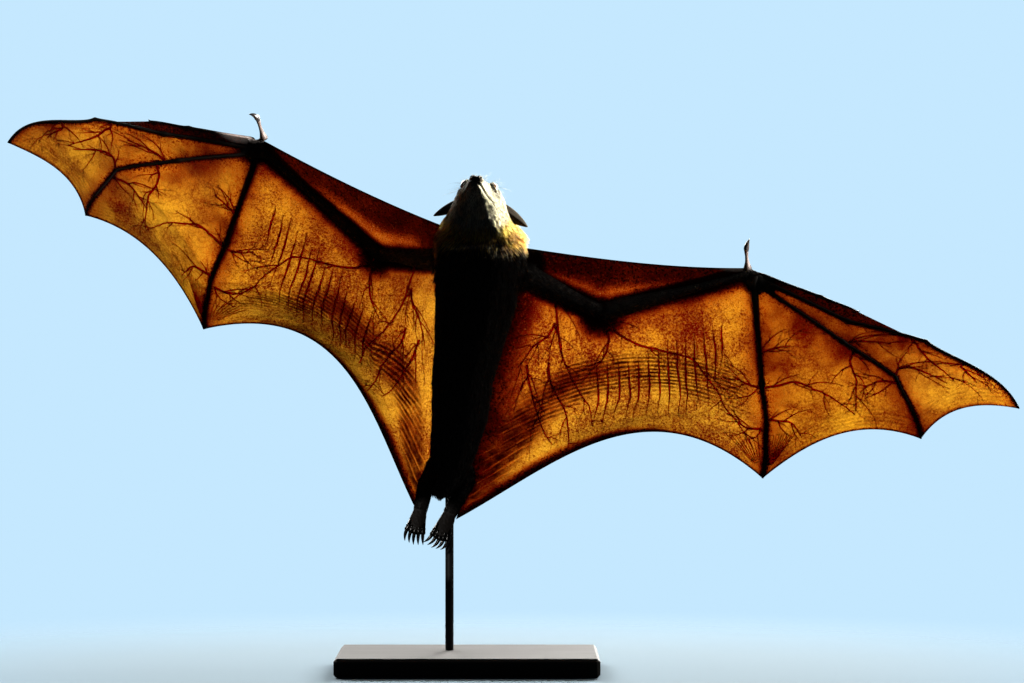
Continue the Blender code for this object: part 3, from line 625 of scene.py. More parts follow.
def wing_net(g, where):
    """A net of fine vessels, as a mask."""
    push = g.add("TexNoise", {"Vector": where, "Scale": 45.0}).outputs["Color"]
    push = g.add("VectorMath", {0: push, "Scale": 0.02}, operation="SCALE").outputs[0]
    warped = g.add("VectorMath", {0: where, 1: push}, operation="ADD").outputs[0]
    net = g.remap(g.cells(warped, 60.0, "DISTANCE_TO_EDGE"), 0.0, 0.035, 1.0, 0.0)
    finer = g.remap(g.cells(warped, 170.0, "DISTANCE_TO_EDGE"), 0.0, 0.06, 1.0, 0.0)
    return g.maths("MAXIMUM", g.times(net, 0.30), g.times(finer, 0.16))


def wing_folds(g, broken):
    """Fine and coarse pleats along the free edge, worn away in places, as a mask."""
    folds = g.map("folds")
    fine = g.remap(g.wave(folds, 9.0, "X", 4.5, 2.5, 0.9), 0.22, 0.58)
    coarse = g.remap(g.wave(folds, 4.6, "X", 3.0, 2.5, 1.2), 0.28, 0.56)
    lines = g.maths("MAXIMUM", g.times(fine, g.value("fine")), g.times(coarse, g.value("coarse")))
    torn = g.noise(g.add("Mapping", {"Vector": folds, "Scale": (26.0, 9.0, 1.0)}).outputs[0], 1.0, 3.0, 0.7)
    uneven = g.remap(broken, 0.30, 0.62, 0.25, 1.0)
    return g.times(lines, g.times(uneven, g.remap(torn, 0.30, 0.50, 0.35, 1.0)))


def wing_material():
    """Thin skin that the light shines through, with mottling and folds."""
    g = Graph("wing_membrane")
    where = g.place()
    region = g.noise(where, 13.0, 2.0, 0.5)
    large = g.noise(where, 34.0, 5.0, 0.62, 0.6)
    small = g.noise(where, 480.0, 2.5, 0.85)
    speckle = g.noise(where, 900.0, 2.0, 0.8)
    broken = g.noise(where, 90.0, 3.0, 0.6)
    rough, shade, pale = (g.value(name) for name in ("grain", "shade", "pale"))
    lines = wing_folds(g, broken)
    loose = g.times(g.times(shade, g.maths("SUBTRACT", 1.0, shade)), 14.0)
    # How dark the web is: thick skin, fur and folds, with painted shadow beside the body and bones,
    # roughened by grain.
    dense_and_shaded = g.plus(shade, g.times(g.centred(small), loose), clamp=True)
    tone = g.plus(g.times(g.centred(large), 0.50), g.times(g.centred(region), 0.60))
    tone = g.plus(tone, g.times(g.centred(small), g.times(rough, 1.35)))
    tone = g.remap(g.plus(tone, g.times(pale, 0.085)), -0.15, 0.15)
    through = g.mix(tone, WEB_DARK, g.mix(pale, WEB_BRIGHT, WEB_PALE))
    through = g.mix(g.remap(broken, 0.50, 0.72, 0.0, 0.30), through, WEB_PATCH)
    light_spots = g.times(g.remap(speckle, 0.52, 0.70, 0.0, 0.70), rough, clamp=True)
    dark_spots = g.times(g.remap(speckle, 0.48, 0.30, 0.0, 0.60), rough, clamp=True)
    through = g.mix(light_spots, through, WEB_LIGHT_SPOT)
    through = g.mix(dark_spots, through, WEB_DARK_SPOT)
    through = g.mix(wing_net(g, where), through, WEB_VESSEL)
    through = g.mix(g.remap(dense_and_shaded, 0.0, 0.60), through, g.mix(tone, WEB_RED_DARK, WEB_RED))
    through = g.mix(g.times(lines, 0.95), through, WEB_FOLD)
    through = g.mix(g.remap(dense_and_shaded, 0.45, 0.95), through, WEB_DENSE_AND_SHADED)
    front = g.mix(dense_and_shaded, g.mix(tone, WEB_FRONT_DARK, WEB_FRONT), WEB_FRONT_DENSE_AND_SHADED)
    height = g.maths("SUBTRACT", g.times(small, 0.45), g.times(lines, 0.9))
    normal = g.bump(height, 0.5, 0.0008)
    body = g.principled(front, g.remap(small, 0.3, 0.7, 0.45, 0.66), normal, Specular_IOR_Level=0.25)
    return g.glowing(WEB_GLOW, body, Color=through, Normal=normal)


def vein_material():
    g = Graph("vein")
    blotch = g.noise(g.place(), 120.0, 3.0)
    colour = g.mix(blotch, *VEIN_SKIN)
    through = g.mix(blotch, *VEIN_LIGHT)
    body = g.principled(colour, 0.45, Specular_IOR_Level=0.3)
    return g.glowing(WEB_GLOW, body, Color=through)


def claw_material():
    g = Graph("claw_horn")
    streak = g.noise(g.place(), 600.0, 3.0)
    colour = g.mix(streak, *HORN)
    return g.finish(g.principled(colour, 0.22, g.bump(streak, 0.25, 0.0003), Coat_Weight=0.5,
                                 Coat_Roughness=0.12))


def eye_material():
    """Brown iris with a round pupil, set out by the turn from the eye's axis."""
    g = Graph("eye_globe")
    turn = g.value("turn")
    fibres = g.noise(g.place(), 1500.0, 3.0)
    colour = g.mix(g.remap(turn, 0.80, 0.95), g.mix(fibres, *IRIS), IRIS_RIM)
    colour = g.mix(g.remap(turn, 0.36, 0.42, 1.0, 0.0), colour, PUPIL)
    return g.finish(g.principled(colour, 0.12, Coat_Weight=1.0, Coat_Roughness=0.02, Specular_IOR_Level=0.6))


def lacquer_material(name, colour, rough):
    g = Graph(name)
    where = g.place()
    grain = g.add("Mapping", {"Vector": where, "Scale": (0.25, 3.0, 3.0)}).outputs[0]
    streak = g.noise(grain, 60.0, 5.0, 0.6, 0.8)
    tone = g.mix(streak, colour, tuple(2.2 * c for c in colour))
    return g.finish(g.principled(tone, g.remap(streak, 0.3, 0.7, rough, rough + 0.12),
                                 g.bump(streak, 0.12, 0.0005), Coat_Weight=0.1, Coat_Roughness=0.3))


# --------------------------------------------------------------- head's frame
def head_axes():
    left = unit(HEAD_LEFT)
    crown = np.array(CROWN) - left * (np.array(CROWN) @ left)
    crown = unit(crown)
    return np.stack([left, crown, np.cross(left, crown)])


HEAD_AXES = head_axes()


def in_head(points):
    """Places as (out to the left, up to the crown, along to the muzzle), in millimetres."""
    return ((points - metres(HEAD_BASE)) @ HEAD_AXES.T / MM).T


def head_point(along, out, up):
    return metres(HEAD_BASE) + np.array((out, up, along)) * MM @ HEAD_AXES


# ------------------------------------------------------------------ body skin
LABELS = ("trunk", "neck", "head", "upper_arm", "forearm", "wrist", "thigh", "shank", "foot")
LEGS_MIDDLE = -0.028           # x between the two legs and between the two arms, in metres
ARMS_MIDDLE = 0.012
TRUNK, NECK, HEAD, UPPER_ARM, FOREARM, WRIST, THIGH, SHANK, FOOT = range(len(LABELS))


def part_nodes():
    """Node names of the furred body, each with its label."""
    nodes = [("trunk", TRUNK), ("neck", NECK), ("head", HEAD), ("lower_jaw", HEAD)]
    for side, _ in SIDES:
        nodes += [(LABELS[k] + "_" + side, k) for k in range(UPPER_ARM, len(LABELS))]
    return nodes


def cad_mesh(names, grow):
    """The named solids as one mesh, each grown a little so that they overlap."""
    whole = bmesh.new()
    for name in names:
        part = bmesh.new()
        part.from_mesh(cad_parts[name].data)
        bmesh.ops.remove_doubles(part, verts=part.verts, dist=1e-6)
        bmesh.ops.recalc_face_normals(part, faces=part.faces)
        part.normal_update()
        for vert in part.verts:
            vert.co += vert.normal * grow * MM
        mesh = mesh_of(name, part)
        whole.from_mesh(mesh)
        bpy.data.meshes.remove(mesh)
    return mesh_of("flesh", whole)


def triangles(mesh):
    mesh.calc_loop_triangles()
    return read(mesh.loop_triangles, "vertices", 3)


def scattered(mesh, density, random):
    """Random places on the mesh, density per square millimetre at each vertex."""
    corners = triangles(mesh)
    places = coordinates(mesh)
    a, b, c = (places[corners[:, k]] for k in range(3))
    area = np.linalg.norm(np.cross(b - a, c - a), axis=1) / 2 / MM ** 2
    expected = area * density[corners].mean(axis=1)
    counts = np.floor(expected + random.random(len(expected))).astype(int)
    chosen = np.repeat(np.arange(len(corners)), counts)
    share = random.random((len(chosen), 2))
    share = np.where(share.sum(axis=1, keepdims=True) > 1, 1 - share, share)
    weights = np.column_stack([1 - share.sum(axis=1), share])
    return corners[chosen], weights


def label_tree():
    tree_points, owners = [], []
    random = np.random.default_rng(3)
    for name, label in part_nodes():
        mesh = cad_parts[name].data
        corners, weights = scattered(mesh, np.full(len(mesh.vertices), 0.12), random)
        points = (coordinates(mesh)[corners] * weights[:, :, None]).sum(axis=1)
        tree_points.append(points)
        owners += [label] * len(points)
    tree = kdtree.KDTree(len(owners))
    for index, point in enumerate(np.vstack(tree_points)):
        tree.insert(point, index)
    tree.balance()
    return tree, np.array(owners)


def labelled(points, tree, owners):
    return owners[[tree.find(point)[1] for point in points]]


def by_label(labels, values, others=0.0):
    return np.array([values.get(name, others) for name in LABELS], float)[labels]


def coat_length(points, labels):
    """Length of the coat in millimetres."""
    along = in_head(points)[2]
    height = points[:, 2] / MM
    lengths = by_label(labels, {"neck": 15, "upper_arm": 7, "forearm": 4, "wrist": 1.5, "thigh": 7,
                                "shank": 4.5, "foot": 1.3})
    head = ramp(along, (-13, -4, 6, 18, 32, 48), (14, 12, 9, 6, 3.4, 1.6))
    trunk = ramp(height, (160, 190, 260, 340, 395), (7, 9, 10, 12, 15))
    lengths = np.where(labels == HEAD, head, lengths)
    return np.where(labels == TRUNK, trunk, lengths)


def coat_lie(points, labels):
    """The way the hair points, before it is laid on the skin."""
    away = -HEAD_AXES[2]
    down = np.array((0, 0, -1.0))
    lie = np.tile(down, (len(points), 1))
    lie[labels == HEAD] = away
    lie[labels == NECK] = unit(away + down * 0.9)
    for side, _ in SIDES:
        for label, start, end in limb_spans(side):
            lie[(labels == label) & near_side(points, label, side)] = unit(end - start)
    return lie


def limb_spans(side):
    """The label of each part of an arm and a leg, with the joints that its hair runs between."""
    shoulder, elbow, wrist = bone_chain(metres(SHOULDER[side]), ARM[side], (1, 1), 1)
    hip, knee, ankle, toes = (metres(joint) for joint in LEG[side])
    return ((UPPER_ARM, shoulder, elbow), (FOREARM, elbow, wrist), (WRIST, elbow, wrist),
            (THIGH, hip, knee), (SHANK, knee, ankle), (FOOT, ankle, toes))


def near_side(points, label, side):
    """True for the points of an arm or leg that belong to this side."""
    middle = LEGS_MIDDLE if label >= THIGH else ARMS_MIDDLE
    return points[:, 0] > middle if side == "left" else points[:, 0] <= middle


def markings(points, labels):
    """The coat's colours: grey face, golden ruff, near-black body."""
    out, up, along = in_head(points)
    height = points[:, 2] / MM
    depth = points[:, 1] / MM
    wobble = waves(points, 0.018, 11) * 2.2 + waves(points, 0.006, 12) * 1.4
    border = ramp(depth, (-40, -10, 20, 45), (412, 409, 396, 384)) + wobble * 1.2
    collar = fade(height - border, -5, 4)
    flecks = waves(points, 0.0042, 32)
    rich = waves(points, 0.011, 21) * 0.4 + flecks * 0.3 + 0.5 + (along + 6) * 0.02
    rich = fade(rich, 0.15, 0.8)[:, None]
    gold = np.array(RUSSET) * (1 - rich) + np.array(GOLD) * rich
    grey = fade(along + wobble, -2, 9)[:, None]
    pale = fade(waves(points, 0.014, 31) * 0.4 + flecks * 0.35 + 0.45 - up * 0.03, 0.2, 0.9)[:, None]
    face = np.array(FACE_GREY) * (1 - pale) + np.array(CREAM) * pale
    eye = np.sqrt((along - EYE[0]) ** 2 + (np.abs(out) - EYE[1] - 3) ** 2 + (up - EYE[2]) ** 2)
    dark = np.maximum((1 - fade(eye, 6.5, 11)) * 0.75, fade(along + up * 0.4, 44, 53) * 0.8)[:, None]
    face = face * (1 - dark) + np.array(MUZZLE_DARK) * dark
    top = gold * (1 - grey) + face * grey
    body = np.tile(np.array(DARK_FUR), (len(points), 1))
    mixed = body * (1 - collar[:, None]) + top * collar[:, None]
    mixed = np.where(np.isin(labels, (FOREARM, WRIST, FOOT))[:, None], np.array(ARM_FUR), mixed)
    return np.where(np.isin(labels, (UPPER_ARM, THIGH, SHANK))[:, None], np.array(DARK_FUR), mixed)


def lid_ring(sign):
    """The eyelids: a soft almond ring that hugs the eyeball."""
    middle = head_point(EYE[0], EYE[1] * sign, EYE[2])
    axis, forward, rise = eye_axes(sign)
    turns = np.linspace(0, 2 * math.pi, 40, endpoint=False)
    across = LID_HALF_WIDTH * np.cos(turns)
    high = LID_HALF_HEIGHT * np.sin(turns)
    lift = np.sqrt(np.maximum(LID_REACH ** 2 - across ** 2 - high ** 2, 0))
    centres = middle + (forward * across[:, None] + rise * high[:, None] + axis * lift[:, None]) * MM
    vertices, faces = [], []
    section = 8
    for k, centre in enumerate(centres):
        outward = unit(centre - middle)
        along = unit(centres[(k + 1) % len(centres)] - centres[k - 1])
        side = np.cross(outward, along)
        for j in range(section):
            turn = 2 * math.pi * j / section
            vertices.append(centre + (outward * math.cos(turn) * 0.85 + side * math.sin(turn) * 1.25) * MM)
            a, b = k * section + j, k * section + (j + 1) % section
            nxt = (k + 1) % len(centres) * section
            faces.append((a, b, nxt + (j + 1) % section, nxt + j))
    return facing_out(mesh_from("lids", np.array(vertices), faces))


def eye_axes(sign):
    axis = unit(np.array((EYE_AXIS[0] * sign, *EYE_AXIS[1:])) @ HEAD_AXES)
    forward = HEAD_AXES[2] - axis * (HEAD_AXES[2] @ axis)
    forward = unit(forward)
    return axis, forward, unit(np.cross(axis, forward)) * sign


def limb_roots(wings):
    """Fingers' and thumbs' roots and the soles, so that the hide runs on into them."""
    parts = []
    for side, _ in SIDES:
        wing = wings[side]
        for digit, line in wing.fingers.items():
            root = line[:9]
            sleeve = np.linspace(2.4 if digit == "2" else 4.4, 0.9, 9) * MM
            radii = sleeve + wing.radii[digit][:9] * np.linspace(0, 0.75, 9)
            parts.append(tube_arrays(root, radii, 12))
        thumb = wing.thumb[:6]
        parts.append(tube_arrays(thumb, np.linspace(5.2, 2.3, 6) * MM, 12))
        ankle, toes = (metres(joint) for joint in LEG[side][2:])
        sole = ankle + (toes - ankle) * np.linspace(-0.25, 0.88, 16)[:, None]
        radii = ramp(np.linspace(0, 1, 16), *SOLE_RADII) * MM
        parts.append(tube_arrays(sole, radii, 18, flat=0.45))
    return mesh_from("roots", *stacked(parts))


def refined(mesh, chosen):
    """Halves the edges between the chosen vertices, for finer forms there."""
    shell = bmesh.new()
    shell.from_mesh(mesh)
    edges = [edge for edge in shell.edges if chosen[edge.verts[0].index] and chosen[edge.verts[1].index]]
    bmesh.ops.subdivide_edges(shell, edges=edges, cuts=1, use_grid_fill=True)
    shell.to_mesh(mesh)
    shell.free()
    mesh.update()
    return mesh


def throat(along):
    """1 at the crease between jaw and throat, down to 0 before and behind it."""
    return np.exp(-((along + 10) / 17) ** 2)


def lump(out, up, along, middle, size):
    """1 at a place of the head, on both sides, down to 0 about twice size away."""
    away = (along - middle[0]) ** 2 + (np.abs(out) - middle[1]) ** 2 + (up - middle[2]) ** 2
    return np.exp(-away / size ** 2)


FACE_LUMPS = (                 # height, middle (along, out, up) and size in millimetres
    (2.6, (16, 16.5, 14), 8.5),       # temple
    (1.7, (25, 11.5, 15.5), 5.0),     # brow
    (0.9, (24, 15.5, 0.5), 5.5),      # cheek bone
    (0.7, (39.5, 9.0, 5.5), 3.5),     # swell of the muzzle
    (-0.8, (46.0, 8.0, 1.5), 3.5),    # hollow behind the nose
    (-0.7, (37.0, 3.0, 12.0), 4.0),   # dip of the bridge
)


def face_forms(points):
    """How far the face stands out from the plain skull, in millimetres."""
    out, up, along = in_head(points)
    return sum(height * lump(out, up, along, middle, size) for height, middle, size in FACE_LUMPS)


def build_skin(wings):
    tree, owners = label_tree()
    names = [name for name, label in part_nodes() if label != FOOT]
    flesh = remeshed(joined("flesh", [cad_mesh(names, 0.28), limb_roots(wings)]), SKIN_VOXEL)
    relaxed(flesh, 14)
    places = coordinates(flesh)
    labels = labelled(places, tree, owners)
    depth = spread(flesh, coat_depth(places, labels), 30)
    eye = eye_distance(places)
    depth *= 0.15 + 0.85 * fade(eye, 8, 15)
    along = in_head(places)[2]
    depth *= 1 - 0.6 * throat(along)
    depth *= by_label(labels, {"shank": 0.35, "foot": 0.0}, 1.0)
    form = face_forms(places) * (labels == HEAD) * fade(eye, 5.9, 7.5)
    set_coordinates(flesh, places + normals(flesh) * ((form - depth) * MM)[:, None])
    relaxed(flesh, 3)
    filled(flesh, labels)
    skin = remeshed(joined("flesh", [flesh, lid_ring(1), lid_ring(-1)]), SKIN_VOXEL)
    relaxed(skin, 2)
    along, beside = head_reach(skin)
    skin = refined(skin, (along > 8) & beside)
    along, beside = head_reach(skin)
    relaxed(skin, 3, fade(along, 10, 13) * beside)
    places = coordinates(skin)
    set_coordinates(skin, places - normals(skin) * (face_lines(places) * MM)[:, None])
    return skin, labelled(coordinates(skin), tree, owners)


def head_reach(mesh):
    """How far along the head each vertex is, and whether it is beside the head's axis."""
    out, up, along = in_head(coordinates(mesh))
    return along, (np.abs(out) < 40) & (np.abs(up) < 40)


def filled(mesh, labels):
    """Fills the creases of the throat and the wrists, so that the coat runs over them."""
    places = coordinates(mesh)
    along = in_head(places)[2]
    share = throat(along) * np.isin(labels, (TRUNK, NECK, HEAD))
    share = spread(mesh, np.maximum(share, 0.6 * (labels == WRIST)), 12)
    wide = spread(mesh, places, 420)
    set_coordinates(mesh, places + (wide - places) * share[:, None])


def eye_distance(points):
    out, up, along = in_head(points)
    return np.sqrt((along - EYE[0]) ** 2 + (np.abs(out) - EYE[1]) ** 2 + (up - EYE[2]) ** 2)


def face_lines(points):
    """Depth of the mouth's line, the lip's cleft and fine folds, in millimetres."""
    out, up, along = in_head(points)
    lips = up - mouth_height(along)
    mouth = (1 - fade(np.abs(lips), 0.2, 1.1)) * fade(along, MOUTH[0] - 1, MOUTH[0] + 3) * (along < 54.5)
    edge = np.exp(-((np.abs(lips) - 1.6) / 0.7) ** 2) * fade(along, MOUTH[0] - 1, MOUTH[0] + 3)
    cleft = (1 - fade(np.abs(out), 0.3, 1.1)) * fade(along, 49, 51) * (up < -3) * (lips > 0)
    folds = np.sin(along * 2.6 + up * 0.8) * np.exp(-((along - 43) / 6) ** 2) * fade(up, 0, 6) * 0.10
    rings = np.sin(eye_distance(points) * 4.2) * 0.16 * np.exp(-((eye_distance(points) - 8.2) / 1.2) ** 2)
    return mouth * 1.15 - edge * 0.22 * (along < 52) + cleft * 0.7 + folds + rings


def mouth_height(along):
    return MOUTH[1] + ramp(along, (27, 40, 50, 55), (1.5, 0.3, 0.0, 0.6))


def coat_depth(points, labels):
    """How far the skin lies inside the coat's outline, in millimetres."""
    return ramp(coat_length(points, labels), (1.5, 4, 8, 15), (0.45, 1.1, 2.6, 5.5))


# ------------------------------------------------------------------------ coat
class Skin:
    """The finished skin, with what the coat needs to know at each vertex."""

    def __init__(self, mesh, labels):
        self.mesh = mesh
        self.labels = labels
        self.places = coordinates(mesh)
        self.out = normals(mesh)
        self.length = spread(mesh, coat_length(self.places, labels), 12)
        self.colour = spread(mesh, markings(self.places, labels), 6)
        self.lie = spread(mesh, coat_lie(self.places, labels), 40)

    def hairy(self):
        """How much hair grows at each vertex: none on lips, nose and eyes."""
        up, along = in_head(self.places)[1:]
        lips = np.abs(up - mouth_height(along))
        grows = np.where((along > MOUTH[0] - 1) & (self.labels == HEAD), fade(lips, 0.5, 1.1), 1.0)
        grows = grows * (1 - fade(along, 49.5, 52.0))
        eye = eye_distance(self.places)
        return grows * fade(eye, EYE_RADIUS + 0.9, EYE_RADIUS + 1.6)


LIMB_ROWS = {                  # where each part of a limb starts and ends on the unwrap
    UPPER_ARM: (0.01, 0.26), FOREARM: (0.26, 0.62), WRIST: (0.26, 0.62),
    THIGH: (0.66, 0.78), SHANK: (0.78, 0.90), FOOT: (0.90, 0.98),
}


def unwrapped(points, labels):
    """The skin opened out: the body as one long roll, each limb as a short one."""
    out, up, along = in_head(points)
    height = points[:, 2] / MM
    middle = ramp(height, (165, 192, 240, 316, 383, 421), (-27, -17.5, -8, 2, 11, 12))
    turn = np.arctan2(points[:, 0] / MM - middle, 8 - points[:, 1] / MM)
    turn = np.where(labels == HEAD, np.arctan2(out, -up), turn)
    v = ramp(height, (160, 400, 440), (0.01, 0.60, 0.70))
    v = np.where(labels == HEAD, ramp(along, (-14, 56), (0.70, 0.985)), v)
    u = 0.31 + turn / math.pi * 0.30
    for side, left_edge in (("left", 0.65), ("right", 0.82)):
        for label, start, end in limb_spans(side):
            low, high = LIMB_ROWS[label]
            chosen = (labels == label) & near_side(points, label, side)
            span = end - start
            share = (points - start) @ span / (span @ span)
            side_way = unit(np.cross(span, (0, 1, 0)))
            deep = np.cross(unit(span), side_way)
            angle = np.arctan2((points - start) @ side_way, (points - start) @ deep)
            u = np.where(chosen, left_edge + (angle / math.pi + 1) * 0.075, u)
            v = np.where(chosen, low + np.clip(share, -0.1, 1.1) * (high - low), v)
    return np.column_stack([u, v])


def nearest_clump(points, share, random):
    """For each tuft, the index of the tuft whose tip its lock gathers round."""
    count = max(1, int(len(points) * share))
    heads = random.choice(len(points), count, replace=False)
    tree = kdtree.KDTree(count)
    for index, head in enumerate(heads):
        tree.insert(points[head], index)
    tree.balance()
    return heads[[tree.find(point)[1] for point in points]]


def tufts(name, skin, density, random, width, lift, pull, rings, lock=0.08, stretch=1.0, curl=0.10):
    """Tapering three-sided locks that spring from the skin and lie along it.

    lift is the slope they leave the skin at, pull how far their tips gather.
    """
    corners, weights = scattered(skin.mesh, density, random)
    own = corners[np.arange(len(corners)), weights.argmax(axis=1)]

    def at(values):
        spots = values[corners]
        share = weights[:, :, None] if values.ndim == 2 else weights
        return (spots * share).sum(axis=1)

    root = at(skin.places)
    rise = unit(at(skin.out))
    lie = at(skin.lie)
    lie = unit(lie - rise * (lie * rise).sum(axis=1, keepdims=True))
    swirl = np.column_stack([waves(root, 0.012, 41 + k) for k in range(3)]) * curl
    lie = unit(lie + swirl + random.normal(size=root.shape) * curl * 0.8)
    lie = unit(lie - rise * (lie * rise).sum(axis=1, keepdims=True))
    side = np.cross(rise, lie)
    length = at(skin.length) * MM * stretch * random.uniform(0.75, 1.1, len(root))
    slope = lift * random.uniform(0.7, 1.25, len(root))
    tip = root + lie * length[:, None] + rise * (length * slope)[:, None]
    lead = nearest_clump(root, lock, random)
    offset = tip[lead] - tip
    far = np.linalg.norm(offset, axis=1)
    offset *= (np.minimum(1.0, 0.5 * length / np.maximum(far, 1e-6)) * pull)[:, None]
    half = width * MM * random.uniform(0.7, 1.3, len(root)) * 0.5
    turns = ((1.0, 0.0), (-1.0, 0.0), (0.0, 0.7))
    levels = np.linspace(0, 1, rings + 1)
    vertices, shade, patch = [], [], []
    count = len(root)
    for level in levels:
        bend = level * (1.55 - 0.55 * level)
        centre = (root - rise * (0.25 * MM) + lie * (length * level)[:, None]
                  + rise * (length * slope * bend)[:, None] + offset * level ** 2)
        if level == 1.0:
            vertices.append(centre[:, None])
            shade.append(np.ones((count, 1)))
            patch.append(np.full((count, 1, 2), (0.5, 1.0)))
            break
        taper = half * (1 - level ** 1.6) * (0.85 + 0.3 * level)
        ring = np.stack([centre + (side * a + rise * b) * taper[:, None] for a, b in turns], axis=1)
        vertices.append(ring)
        shade.append(np.full((count, 3), level))
        patch.append(np.tile(np.array(((0.0, level), (1.0, level), (0.5, level))), (count, 1, 1)))
    per = 3 * rings + 1
    vertices = np.concatenate(vertices, axis=1).reshape(-1, 3)
    shade = np.concatenate(shade, axis=1).reshape(-1)
    patch = np.concatenate(patch, axis=1).reshape(-1, 2)
    pattern = [(2, 1, 0)]
    for ring in range(rings - 1):
        for k in range(3):
            a, b = 3 * ring + k, 3 * ring + (k + 1) % 3
            pattern += [(a, b, b + 3), (a, b + 3, a + 3)]
    top = 3 * (rings - 1)
    pattern += [(top + k, top + (k + 1) % 3, per - 1) for k in range(3)]
    faces = (np.array(pattern)[None] + np.arange(count)[:, None, None] * per).reshape(-1, 3)
    mesh = mesh_from(name, vertices, faces)
    shifted = root + random.normal(size=root.shape) * (length * 0.22)[:, None]
    tint = markings(shifted, skin.labels[own]) * 0.6 + at(skin.colour) * 0.4
    colour = np.repeat(tint * random.uniform(0.7, 1.35, (count, 1)), per, axis=0)
    # Each lock is darker at its root and lighter at its tip: painted shade deep in the coat.
    add_colours(mesh, "coat_colour", np.clip(colour * (0.55 + 0.75 * shade[:, None]), 0, 1))
    spot = np.repeat(unwrapped(root, skin.labels[own]), per, axis=0)
    add_map(mesh, "OFBake", spot + (patch - 0.5) * TUFT_PATCH)
    return mesh


# ------------------------------------------------------------------------ wing
class Wing:
    def __init__(self, side, leading):
        self.side = side
        self.leading = leading
        self.shoulder = metres(SHOULDER[side])
        self.arm = bone_chain(self.shoulder, ARM[side], ARM_STEPS, leading)
        self.wrist = self.arm[-1]
        self.fingers = {}
        self.radii = {}
        for digit, bones in FINGER[side].items():
            root = self.wrist + metres(FINGER_ROOT[side][digit])
            steps = BONE_STEPS[:len(bones)]
            self.fingers[digit] = bone_chain(root, bones, steps, leading)
            self.radii[digit] = self.finger_radii(digit, steps)
        root = self.wrist + metres(FINGER_ROOT[side]["thumb"])
        self.thumb = bone_chain(root, THUMB[side], (12, 9), leading)
        self.flank = catmull(self.flank_points(), np.linspace(0, 1, len(self.fingers["5"])))

    def flank_points(self):
        hip, knee = LEG[self.side][:2]
        spots = [SHOULDER[self.side], *FLANK[self.side], hip, knee, HEEL[self.side]]
        return [metres(spot) for spot in spots]

    def finger_radii(self, digit, steps):
        """Tapering bones with a swollen joint between each two."""
        sizes = FINGER_RADIUS[digit]
        radii = [sizes[0]]
        for bone, count in enumerate(steps):
            shares = np.arange(1, count + 1) / count
            radii += list(sizes[bone] + (sizes[bone + 1] - sizes[bone]) * shares)
        radii = np.array(radii)
        marks = walked(self.fingers[digit])
        for joint in np.cumsum(steps)[:-1]:
            radii *= 1 + KNUCKLE_SWELL * np.exp(-((marks - marks[joint]) / (KNUCKLE_REACH * MM)) ** 2)
        waist = 0.88 + 0.12 * np.cos(np.linspace(0, 2 * math.pi * len(steps), len(radii)))
        return radii * waist * MM


def patch(top, bottom, start, end, camber, smoothing=0):
    """A Coons patch between four edges, as a grid of points.

    The start edge may be smoothed before it is carried over the patch; its own
    corners are then added back and fade out from it.
    """
    reach = np.linspace(1, 0, len(end))[:, None] ** 12
    end = end + (top[-1] - end[0]) * reach
    start = start + (top[0] - start[0]) * reach
    corners = start
    start = start.copy()
    for _ in range(smoothing):
        start[1:-1] += (start[:-2] + start[2:] - 2 * start[1:-1]) / 4
    v = np.linspace(0, 1, len(start))[:, None, None]
    u = np.linspace(0, 1, len(top))[None, :, None]
    grid = top[None] * (1 - v) + bottom[None] * v + start[:, None] * (1 - u) + end[:, None] * u
    grid = grid - (top[0] * (1 - u) + top[-1] * u) * (1 - v) - (bottom[0] * (1 - u) + bottom[-1] * u) * v
    grid[:, :, 1] += (camber * MM * 16 * u * (1 - u) * v * (1 - v))[:, :, 0]
    return grid + (corners - start)[:, None] * (1 - u) ** 10


def nearest(points, line):
    """Least distance from each point to the points of a line, in millimetres, and where."""
    best = np.full(len(points), np.inf)
    place = np.zeros(len(points), int)
    for index, spot in enumerate(line):
        away = ((points - spot) ** 2).sum(axis=1)
        closer = away < best
        best[closer] = away[closer]
        place[closer] = index
    return np.sqrt(best) / MM, place


def distance_to(points, line):
    return nearest(points, line)[0]


def walked_share(line):
    """How far along a line each of its points lies, from 0 to 1."""
    marks = walked(line)
    return marks / marks[-1]


